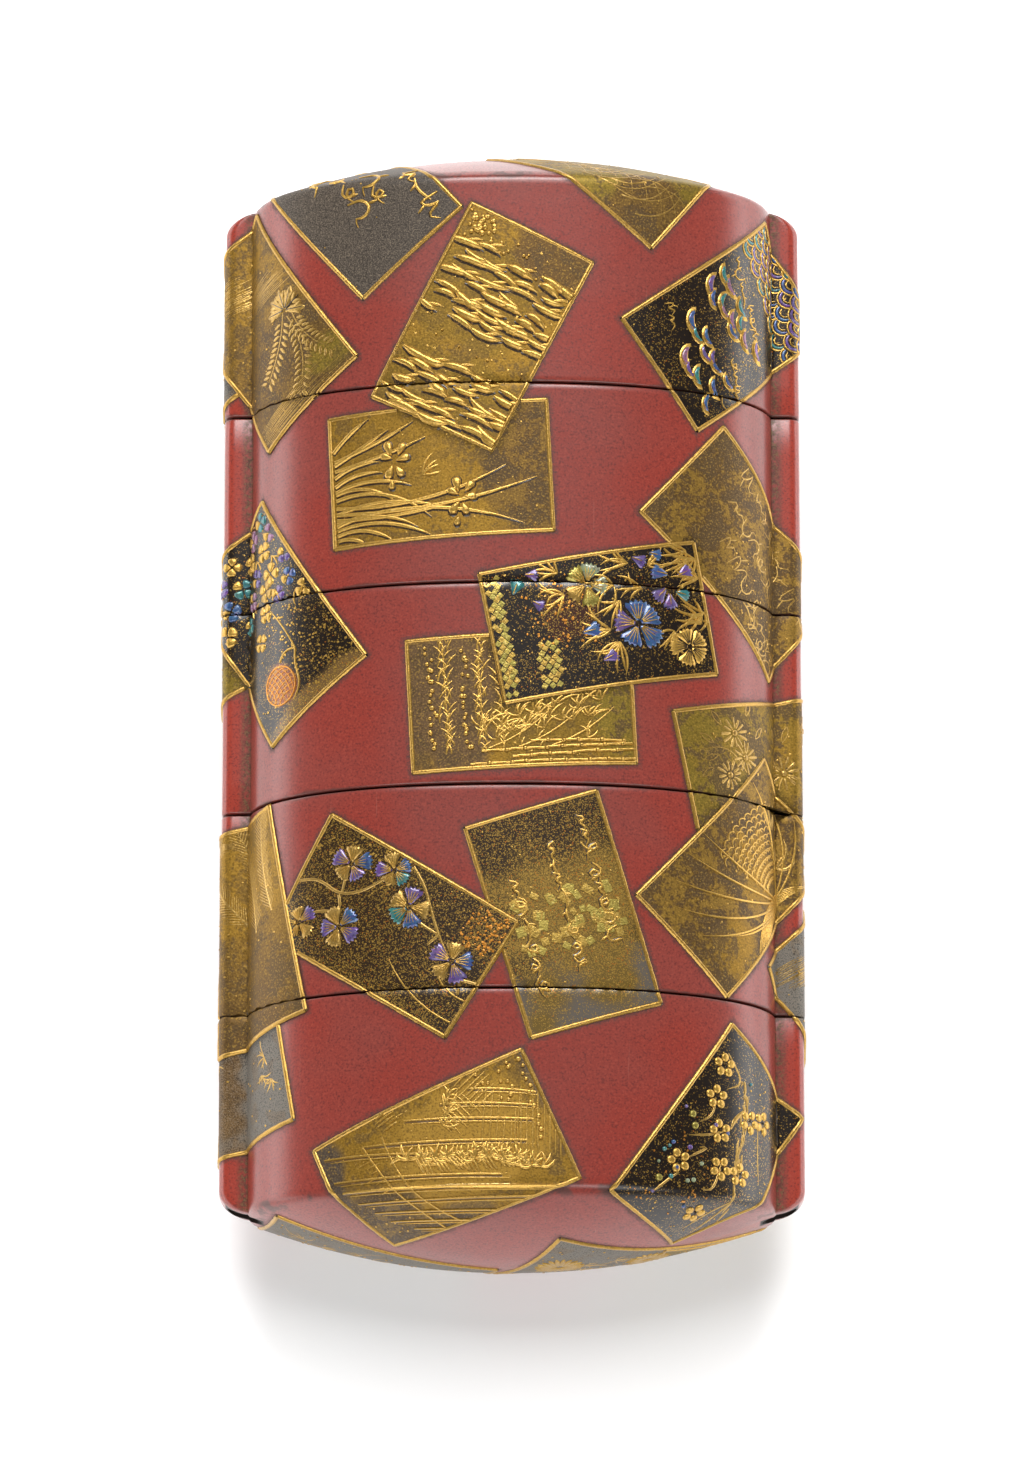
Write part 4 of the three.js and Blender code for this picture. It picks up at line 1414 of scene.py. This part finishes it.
def skin_normals(across, along, end):
    step = 0.3
    rightwards = near_skin(across + step, along, end) - near_skin(across - step, along, end)
    upwards = near_skin(across, along + step, end) - near_skin(across, along - step, end)
    normal = np.cross(rightwards, upwards) * (-end if end else 1)
    return normal / np.maximum(np.linalg.norm(normal, axis=1), 1e-12)[:, None]


SHELL_INKS = ("blue", "violet", "teal", "pink", "olive_shell")
# Dark lines hold dark pattern, such as veins and hearts, and painted shadows laid beside raised lines.
DARK_INKS = ("umber", "rust", "shadow_brown")
# Height of a line as a part of half its width
HEIGHTS = {"border": 0.45, "umber": 0.10, "shadow_brown": 0.10, "wash": 0.26, "ridge_highlight": 0.16, "bright": 0.75}


def relief_for(index):
    """The raised work that lies on one piece of the case."""
    low_y, high_y = piece_range(index)
    found = {"gold": Relief(), "shell": Relief(), "dark": Relief()}
    for brush in brushes:
        card = brush.card
        if card.end and index != (0 if card.end > 0 else 4):
            continue
        for run, finish, on in brush.lines:
            heights = [item[1] * MM for item in run]
            if not card.end and (max(heights) < low_y - MM / 2 or min(heights) > high_y + MM / 2):
                continue
            found[kind_of(finish)].loft(run, card, PAINT[finish], HEIGHTS.get(finish, 0.6), on)
        for shape, x, y, length, width, angle, rise, finish in brush.stamps:
            height = card.place(x, y)[1] * MM
            reach = (length + 0.5) * MM
            if not card.end and (height + reach < low_y or height - reach > high_y):
                continue
            found[kind_of(finish)].stamp(card, shape, x, y, length, width, angle, rise, PAINT[finish])
    return found


def kind_of(finish):
    return "shell" if finish in SHELL_INKS else "dark" if finish in DARK_INKS else "gold"


def piece_range(index):
    """The height of one piece, with room for the domes beyond the ridges."""
    return (SEAMS[index] + SEAM_GAP / 2 if index < 4 else -0.1,
            SEAMS[index - 1] - SEAM_GAP / 2 if index > 0 else 0.1)


def make_relief(name, relief):
    mesh = bpy.data.meshes.new(name)
    mesh.from_pydata(relief.corners, [], relief.faces)
    paint = mesh.attributes.new("ink", "FLOAT_COLOR", "POINT")
    for point, ink in zip(paint.data, relief.inks):
        point.color = (*ink, 1)
    made = bpy.data.objects.new(name, mesh)
    bpy.context.collection.objects.link(made)
    return made


def cut_at_seams(piece, index):
    """Keeps only what lies on this piece of the case and closes the cuts."""
    low_y, high_y = piece_range(index)
    select_only(piece)
    bpy.ops.object.mode_set(mode="EDIT")
    for y, keep_above in ((low_y, True), (high_y, False)):
        bpy.ops.mesh.select_all(action="SELECT")
        bpy.ops.mesh.bisect(plane_co=(0, y, 0), plane_no=(0, 1, 0), use_fill=True,
                            clear_inner=keep_above, clear_outer=not keep_above)
    face_outwards()
    bpy.ops.object.shade_smooth_by_angle(angle=RELIEF_ANGLE)


# %% Cut everything where the case opens
dressing = []                           # object, kind, name of the piece it lies on
for index, name in enumerate(PIECES):
    for kind, relief in relief_for(index).items():
        if relief.faces:
            made = make_relief(f"{name}_{kind}_relief", relief)
            cut_at_seams(made, index)
            dressing.append((made, kind))
    for kind, found in sheets.items():
        copies = []
        for sheet in found:
            heights = [corner.co.y for corner in sheet.data.vertices]
            if max(heights) > piece_range(index)[0] and min(heights) < piece_range(index)[1]:
                copies.append(sheet)
        if copies:
            deselect()
            for sheet in copies:
                sheet.select_set(True)
            bpy.context.view_layer.objects.active = copies[0]
            bpy.ops.object.duplicate()
            bpy.ops.object.join()
            made = bpy.context.object
            made.name = made.data.name = f"{name}_{kind}_cards"
            cut_at_seams(made, index)
            dressing.append((made, kind + "_ground"))
for found in sheets.values():
    for sheet in found:
        bpy.data.objects.remove(sheet)
print("dressing:", {made.name: len(made.data.polygons) for made, kind in dressing})

# %% [markdown]
# ## Shader maths as plain expressions
#
# A finish is a small network of nodes. To keep such a network readable, a socket is wrapped
# in a class whose operators add the Math nodes, so that a mask can be written as
# `1 - edge * 0.9`. Everything else goes through one method that adds a node, first makes
# its settings and then fills or links its sockets.

# %% Wrap sockets and finishes
class Thread:
    """One output socket in a finish. Maths on it adds Math nodes."""

    def __init__(self, finish, socket):
        self.finish, self.socket = finish, socket

    def _maths(self, operation, *values, clamp=False):
        return self.finish.node("ShaderNodeMath", {"operation": operation, "use_clamp": clamp},
                                dict(enumerate(values)))

    def __add__(self, other):
        return self._maths("ADD", self, other)

    def __sub__(self, other):
        return self._maths("SUBTRACT", self, other)

    def __rsub__(self, other):
        return self._maths("SUBTRACT", other, self)

    def __mul__(self, other):
        return self._maths("MULTIPLY", self, other)

    def __pow__(self, other):
        return self._maths("POWER", self, other)

    def __abs__(self):
        return self._maths("ABSOLUTE", self)

    __radd__, __rmul__ = __add__, __mul__

    def least(self, other):
        return self._maths("MINIMUM", self, other)

    def most(self, other):
        return self._maths("MAXIMUM", self, other)

    def rise(self, low, high):
        """Nought below low, one above high and smooth between. It falls if high is the lower."""
        if low > high:
            return 1 - self.rise(high, low)
        return self.finish.node("ShaderNodeMapRange", {"interpolation_type": "SMOOTHSTEP"},
                                {"Value": self, "From Min": low, "From Max": high})


class Finish:
    """One material around a Principled shader."""

    def __init__(self, name, **constants):
        self.material = bpy.data.materials.new(name)
        self.material.use_nodes = True
        self.tree = self.material.node_tree
        self.shader = self.tree.nodes["Principled BSDF"]
        for key, value in constants.items():
            socket_name = key.replace("_", " ").title().replace("Ior", "IOR")
            self.shader.inputs[socket_name].default_value = value
        place = self.node("ShaderNodeTexCoord", {}, {}, out="Object")
        self.place = self.node("ShaderNodeVectorMath", {"operation": "SCALE"}, {0: place, "Scale": 1 / MM})

    def node(self, kind, settings, sockets, out=0):
        made = self.tree.nodes.new(kind)
        for setting, value in settings.items():
            if setting == "stops":
                self._set_stops(made.color_ramp, value)
            else:
                setattr(made, setting, value)
        for key, value in sockets.items():
            named = [socket for socket in made.inputs if socket.identifier == key and key in MIX_SOCKETS]
            target = named[0] if named else made.inputs[key]
            if isinstance(value, Thread):
                self.tree.links.new(value.socket, target)
            else:
                target.default_value = value
        outputs = [socket for socket in made.outputs if socket.enabled]
        return Thread(self, made.outputs[out] if isinstance(out, str) else outputs[out])

    def _set_stops(self, ramp, stops):
        while len(ramp.elements) < len(stops):
            ramp.elements.new(1)
        for element, (position, colour) in zip(ramp.elements, stops):
            element.position, element.color = position, (*colour, 1)

    def mix(self, first, second, factor):
        first, second = [value if isinstance(value, Thread) else (*value, 1) for value in (first, second)]
        return self.node("ShaderNodeMix", {"data_type": "RGBA", "clamp_result": False},
                         {"Factor_Float": factor, "A_Color": first, "B_Color": second})

    def noise(self, per_mm, detail=2.0, stretch=None, distortion=0.0):
        place = self.place
        if stretch:
            place = self.node("ShaderNodeMapping", {}, {"Vector": place, "Rotation": stretch[0],
                                                        "Scale": stretch[1]})
        return self.node("ShaderNodeTexNoise", {}, {"Vector": place, "Scale": per_mm, "Detail": detail,
                                                    "Distortion": distortion}, "Fac")

    def grains(self, per_mm, out="Distance"):
        return self.node("ShaderNodeTexVoronoi", {}, {"Vector": self.place, "Scale": per_mm}, out)

    def parts(self, vector, axes):
        """Single numbers out of a vector, one for each letter."""
        return [self.node("ShaderNodeSeparateXYZ", {}, {"Vector": vector}, axis) for axis in axes]

    def mark(self, name, out="Fac"):
        return self.node("ShaderNodeAttribute", {"attribute_name": name}, {}, out)

    def feed(self, **threads):
        for socket_name, thread in threads.items():
            self.tree.links.new(thread.socket, self.shader.inputs[socket_name.replace("_", " ").title()])

    def bump(self, height, reach_mm):
        """Turns a height of up to one into a bump of this reach."""
        self.feed(Normal=self.node("ShaderNodeBump", {}, {"Height": height, "Strength": 1.0,
                                                          "Distance": reach_mm * MM}))


MIX_SOCKETS = ("Factor_Float", "A_Color", "B_Color")

# %% [markdown]
# ## Red lacquer
#
# The ground is vermilion lacquer in many coats, rubbed until it shines. Close to it isn't
# one red: fine specks of darker lacquer show in it, a dark ragged fringe runs round every
# raised card and a dark speckled band along the groove beside the runner, the cord's channel
# is painted near black inside as painted shade, and along the seams and ridges the fingers of
# two centuries have worn it to the brown undercoat. The dark fringe needs to know where the
# cards are, so each point of the skin is given its distance to the nearest card.

# %% Measure the skin against the cards
def flat_tree(pasts):
    """Finds the place on the flat pattern from x and z, at these distances past the ridge."""
    u, past = np.meshgrid(np.linspace(0, GIRTH, 1601)[:-1], pasts)
    u, past = u.ravel(), past.ravel()
    points = near_skin(u, TOP_RIDGE / MM + past, 0)
    tree = KDTree(len(u))
    for i, (x, _, z) in enumerate(points):
        tree.insert((x, 0, z - AXIS_Z), i)
    tree.balance()
    return tree, u, past


wall_tree = flat_tree([0.0])
dome_tree = flat_tree(np.arange(0, 11.6, 0.3))


def mark_skin(shell):
    """Notes for every corner its distance to the nearest card and its place round the girth."""
    corners = np.array([vertex.co[:] for vertex in shell.data.vertices])
    x, y, z = corners[:, 0], corners[:, 1], corners[:, 2] - AXIS_Z
    u, v = np.zeros(len(x)), y / MM
    for i in range(len(x)):
        tree, around_u, past = dome_tree if abs(y[i]) > TOP_RIDGE else wall_tree
        found = tree.find((x[i], 0, z[i]))[1]
        u[i] = around_u[found]
        if abs(y[i]) > TOP_RIDGE:
            v[i] = np.sign(y[i]) * (TOP_RIDGE / MM + past[found])
    nearest = np.full(len(u), FAR)
    for card in cards:
        if not card.end:
            nearest = np.minimum(nearest, card.outside(u, v))
        else:
            away_from = np.where(y * card.end > TOP_RIDGE - MM, card.outside(x / MM, z / MM), FAR)
            nearest = np.minimum(nearest, away_from)
    deep = np.linalg.norm(corners - near_skin(u, v, 0), axis=1) > 0.5 * MM    # walls inside
    nearest[deep] = FAR
    centred = np.abs((u + GIRTH / 2) % GIRTH - GIRTH / 2)
    folded = np.minimum(centred, 2 * HALF_FRONT / MM - centred)
    folded[deep] = 0
    for name, values in (("card_edge", nearest), ("girth", folded)):
        mark = shell.data.attributes.new(name, "FLOAT", "POINT")
        mark.data.foreach_set("value", values.astype(np.float32))


for shell in shells:
    mark_skin(shell)
print("skin marked at", sum(len(shell.data.vertices) for shell in shells), "corners")


# %% Red lacquer
def red_lacquer():
    finish = Finish("red_lacquer", roughness=0.3, coat_roughness=0.27, specular_ior_level=0.2)
    clouds = finish.noise(0.09, 3)
    specks = finish.noise(5.5, 3)
    ragged = finish.noise(2.6, 4)
    girth = finish.mark("girth")
    colour = finish.mix((0.250, 0.036, 0.025), (0.225, 0.045, 0.035), clouds.rise(0.35, 0.65))
    colour = finish.mix(colour, (0.300, 0.040, 0.025), girth.rise(GROOVE_U / MM + 0.6, GROOVE_U / MM + 1.2))
    colour = finish.mix(colour, (0.095, 0.022, 0.020), specks.rise(0.51, 0.70) * 0.7)
    colour = finish.mix(colour, (0.36, 0.075, 0.050), specks.rise(0.47, 0.3) * 0.4)

    # A dark ragged fringe runs round the edge of every card, broken up by fine noise.
    speckle_noise = finish.noise(7.0, 2)
    edge = finish.mark("card_edge") + (ragged - 0.5) * 0.5 + (speckle_noise - 0.5) * 1.0
    darkening = edge.rise(0.62, -0.1) ** 1.5
    colour = finish.mix(colour, (0.060, 0.036, 0.030), darkening * 0.85)

    across, height, depth = finish.parts(finish.place, "XYZ")
    # A dark speckled band runs along the groove beside the runner and stops short of the ridges.
    groove = girth - GROOVE_U / MM + (ragged - 0.5) * 1.1
    groove = groove.rise(-0.5, 0.0) * groove.rise(1.1, 0.4) * (ragged + speckle_noise * 0.5).rise(0.55, 0.9)
    groove = groove * abs(height).rise(TOP_RIDGE / MM + 0.1, TOP_RIDGE / MM - 0.4)
    colour = finish.mix(colour, finish.mix((0.050, 0.030, 0.018), (0.12, 0.085, 0.035), speckle_noise.rise(0.5, 0.6)),
                        groove * 0.85)
    # Painted shade: the inside of the cord's channel and its rim are painted near black.
    wide, deep = CHANNEL[0] / MM, CHANNEL[1] / MM
    bore = abs(abs(across) - CHANNEL_X / MM).rise(wide + 0.25, wide + 0.05)
    bore = bore * abs(depth - AXIS_Z / MM).rise(deep + 0.25, deep + 0.05)
    colour = finish.mix(colour, (0.016, 0.010, 0.007), bore)
    # The fringe, the groove band and the painted shade in the channel also make the lacquer rougher and less
    # coated.
    darkening = darkening.most(groove).most(bore)
    wear_noise = finish.noise(0.55, 5)
    worn = (abs(height) - TOP_RIDGE / MM + wear_noise * 1.4).rise(0.35, 0.75)
    worn = worn * (abs(height) - TOP_RIDGE / MM).rise(0.9, 0.3) * wear_noise.rise(0.52, 0.64)
    for seam in SEAMS:
        gap = abs(height - seam / MM) + (wear_noise - 0.5) * 0.9
        worn = worn.most(gap.rise(0.34, 0.10) * 0.8)
    colour = finish.mix(colour, (0.065, 0.030, 0.024), worn * 0.75)
    streaks = finish.noise(1.0, 2, ((0, 0, 0.9), (7.0, 0.10, 0.5)))
    colour = finish.mix(colour, (0.40, 0.16, 0.12), streaks.rise(0.73, 0.80) * 0.35)
    finish.feed(Base_Color=colour, Roughness=0.26 + darkening * 0.25 + worn * 0.2 + specks * 0.12,
                Coat_Weight=0.7 - darkening * 0.5)
    finish.bump(specks * 0.3 + wear_noise, 0.03)
    return finish.material


# %% [markdown]
# ## Gold, black and grey grounds
#
# The ground of a card is powdered gold shaken on wet lacquer and polished. It is thick in
# places and thin in others, so that the brown lacquer shows through as clouds. A dark card
# is black lacquer with a sparse dust of gold, and the grey ones hold silver or charcoal.

# %% Grounds
def gold_ground():
    finish = Finish("gold_dust", coat_roughness=0.3, coat_weight=0.05, specular_ior_level=0.15)
    ink = finish.mark("ink", "Color")
    dust = finish.mark("dust")
    clouds = finish.noise(0.38, 5, distortion=0.6)
    powder = finish.noise(6.0, 3)
    worn = finish.noise(2.4, 4)
    patches = clouds * 0.6 + worn * 0.4
    thin = patches.rise(0.48, 0.56) * dust.least(1.0) * 0.85
    thick = patches.rise(0.50, 0.44) * (dust - 1.0).most(0.0)
    colour = finish.mix(ink, (0.088, 0.054, 0.024), thin)
    colour = finish.mix(colour, (0.30, 0.175, 0.030), thick)
    colour = finish.mix(colour, (0.50, 0.30, 0.050), powder.rise(0.53, 0.68) * 0.4)
    colour = finish.mix(colour, (0.055, 0.032, 0.010), powder.rise(0.47, 0.34) * 0.5)
    finish.feed(Base_Color=colour, Roughness=0.36 + powder * 0.26, Metallic=0.5 - thin * 0.35)
    finish.bump(powder, 0.02)
    return finish.material


def black_ground():
    finish = Finish("black_nashiji", roughness=0.32, coat_roughness=0.26, coat_weight=0.45,
                    specular_ior_level=0.3)
    ink = finish.mark("ink", "Color")
    dust = finish.mark("dust")
    spread = finish.noise(0.35, 3)
    flake, tint = finish.parts(finish.grains(6.0, "Color"), "XY")
    flake = (flake + spread * 0.4 + dust * 0.10).rise(1.16, 1.21) * finish.grains(6.0).rise(0.38, 0.24)
    powder, = finish.parts(finish.grains(13.0, "Color"), "X")
    powder = (powder + (spread - 0.5) * 0.3 + dust * 0.13).rise(0.91, 1.02)
    colour = finish.mix(ink, (0.42, 0.25, 0.048), powder * 0.85)
    glint = finish.mix((0.55, 0.34, 0.07), (0.50, 0.15, 0.015), tint.rise(0.45, 0.55))
    finish.feed(Base_Color=finish.mix(colour, glint, flake), Metallic=powder.most(flake) * 0.5)
    return finish.material


def grey_ground():
    finish = Finish("grey_dust", coat_roughness=0.3, coat_weight=0.1, specular_ior_level=0.2)
    ink = finish.mark("ink", "Color")
    grain = finish.noise(9.0, 2)
    clouds = finish.noise(0.6, 4, distortion=0.5)
    colour = finish.mix(ink, (0.15, 0.085, 0.03), clouds.rise(0.52, 0.60) * finish.mark("dust") * 0.8)
    colour = finish.mix(colour, (0.21, 0.165, 0.115), grain.rise(0.51, 0.66) * 0.6)
    colour = finish.mix(colour, (0.016, 0.012, 0.009), grain.rise(0.49, 0.35) * 0.7)
    finish.feed(Base_Color=colour, Roughness=0.45 + grain * 0.2)
    finish.bump(grain, 0.02)
    return finish.material


# %% [markdown]
# ## Raised gold and shell
#
# Raised gold is rubbed bright on its crowns and keeps a grain of powder on its sides. The
# shell pieces are slips of abalone: blue, violet and green by turns along the slip.

# %% Raised work
def raised_gold():
    finish = Finish("raised_gold", coat_weight=0.15, coat_roughness=0.2)
    ink = finish.mark("ink", "Color")
    powder = finish.noise(6.0, 3)
    colour = finish.mix(ink, (0.20, 0.105, 0.02), powder.rise(0.45, 0.30) * 0.6)
    colour = finish.mix(colour, (0.92, 0.70, 0.32), powder.rise(0.56, 0.72) * 0.3)
    finish.feed(Base_Color=colour, Roughness=0.22 + powder * 0.3,
                Metallic=0.75 - powder.rise(0.45, 0.30) * 0.3)
    finish.bump(powder, 0.03)
    return finish.material


def shell_inlay():
    finish = Finish("abalone", roughness=0.3, coat_weight=0.5, coat_roughness=0.08, metallic=0.2)
    ink = finish.mark("ink", "Color")
    bands = finish.noise(0.9, 2, ((0.3, 0.2, 0.7), (1.0, 3.0, 1.0)), distortion=0.8)
    shimmer = finish.node("ShaderNodeValToRGB", {"stops": [
        (0.30, (0.14, 0.06, 0.22)), (0.43, (0.05, 0.09, 0.28)), (0.55, (0.03, 0.20, 0.17)),
        (0.68, (0.30, 0.14, 0.26))]}, {"Fac": bands})
    grit = finish.noise(4.0, 3)
    colour = finish.mix(ink, shimmer, 0.3)
    finish.feed(Base_Color=finish.mix(colour, (0.02, 0.02, 0.03), grit.rise(0.5, 0.65) * 0.5))
    return finish.material


# Dark lines: dark pattern lines, and painted shadows beside raised work.
def dark_lines():
    finish = Finish("dark_lines", coat_weight=0.4, coat_roughness=0.1)
    ink = finish.mark("ink", "Color")
    grain = finish.noise(5.0, 2)
    colour = finish.mix(ink, (0.30, 0.16, 0.04), grain.rise(0.55, 0.7) * 0.5)
    finish.feed(Base_Color=colour, Roughness=0.3 + grain * 0.2)
    return finish.material


red = red_lacquer()
FINISHES = {"gold": raised_gold(), "shell": shell_inlay(), "dark": dark_lines(),
            "gold_ground": gold_ground(), "black_ground": black_ground(), "grey_ground": grey_ground()}
for shell in shells:
    shell.data.materials.append(red)
for made, kind in dressing:
    made.data.materials.clear()
    made.data.materials.append(FINISHES[kind])
print("finishes:", red.name, *[finish.name for finish in FINISHES.values()])

# %% [markdown]
# ## Studio
#
# The case lies on a white table. A soft light stands beyond its lid, so that raised gold
# shines on its upper edges, and a wider one fills in from its foot. Two long soft boxes
# beside the case, at table height, put the pale streaks on the flanks. One more lamp lights
# the table alone, which keeps the shadow of the case short and soft. The air is bright all
# round but dark behind the camera, so that the flat front keeps the depth of its red.

# %% Studio
def light(name, place, aim, size, watts):
    deselect()
    bpy.ops.object.light_add(type="AREA", location=place)
    lamp = bpy.context.object
    lamp.name = name
    lamp.data.shape = "RECTANGLE"
    lamp.data.size, lamp.data.size_y = size
    lamp.data.energy = watts
    lamp.rotation_euler = (Vector(aim) - Vector(place)).to_track_quat("-Z", "Y").to_euler()
    return lamp


deselect()
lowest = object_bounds()[0].z
bpy.ops.mesh.primitive_plane_add(size=3, location=(0, 0, lowest - 0.02 * MM))
floor = bpy.context.object
floor.name = "floor"
floor_paint = bpy.data.materials.new("studio_floor")
floor_paint.use_nodes = True
for socket_name, value in (("Base Color", (0.92, 0.92, 0.92, 1)), ("Roughness", 0.6),
                           ("Emission Color", (1, 1, 1, 1)), ("Emission Strength", 0.04)):
    floor_paint.node_tree.nodes["Principled BSDF"].inputs[socket_name].default_value = value
floor.data.materials.append(floor_paint)

world = bpy.data.worlds.new("studio_air")
bpy.context.scene.world = world
world.use_nodes = True
air = world.node_tree.nodes.new("ShaderNodeTexCoord")
behind_camera = world.node_tree.nodes.new("ShaderNodeVectorMath")
behind_camera.operation = "DOT_PRODUCT"
behind_camera.inputs[1].default_value = (0, -0.20, 0.98)
glow = world.node_tree.nodes.new("ShaderNodeMapRange")
glow.interpolation_type = "SMOOTHSTEP"
for socket_name, value in (("From Min", 0.975), ("From Max", 0.89), ("To Min", 0.15), ("To Max", 0.78)):
    glow.inputs[socket_name].default_value = value
world.node_tree.links.new(air.outputs["Generated"], behind_camera.inputs[0])
world.node_tree.links.new(behind_camera.outputs["Value"], glow.inputs["Value"])
world.node_tree.links.new(glow.outputs["Result"], world.node_tree.nodes["Background"].inputs["Strength"])
bpy.context.scene.view_settings.view_transform = "Standard"

light("key", (0.0, 0.47, 0.52), (0, 0, 0.01), (0.42, 0.26), 5.4)
light("fill", (0, -0.60, 0.62), (0, 0, 0.01), (0.9, 0.5), 5.5)
only_floor = bpy.data.collections.new("only_floor")
only_floor.objects.link(floor)
overhead = light("overhead", (0, 0.30, 0.88), (0, 0, 0), (0.42, 0.42), 5.2)
overhead.light_linking.receiver_collection = only_floor
for side, name in ((-1, "streak_left"), (1, "streak_right")):
    light(name, (0.15 * side, 0, 0.022), (0, 0, 0.022), (0.34, 0.042), 0.15)

# %% Camera
TILT = math.radians(15.24)
DISTANCE = 0.86
LENS = 244.8                           # a long lens, which keeps the sides nearly parallel
SENSOR = 36
aim = Vector((0, -1.4 * MM, 10.8 * MM))
deselect()
bpy.ops.object.camera_add(location=aim + DISTANCE * Vector((0, -math.sin(TILT), math.cos(TILT))),
                          rotation=(TILT, 0, 0))
camera = bpy.context.object
camera.data.lens = LENS
camera.data.sensor_width = SENSOR
bpy.context.scene.camera = camera
print("camera looks down on the case, tilted", round(math.degrees(TILT), 1), "degrees")

# %% Hand the pieces over
for name, shell in zip(PIECES, shells):
    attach(shell, "root")
    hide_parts(name)
for made, kind in dressing:
    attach(made, "root")
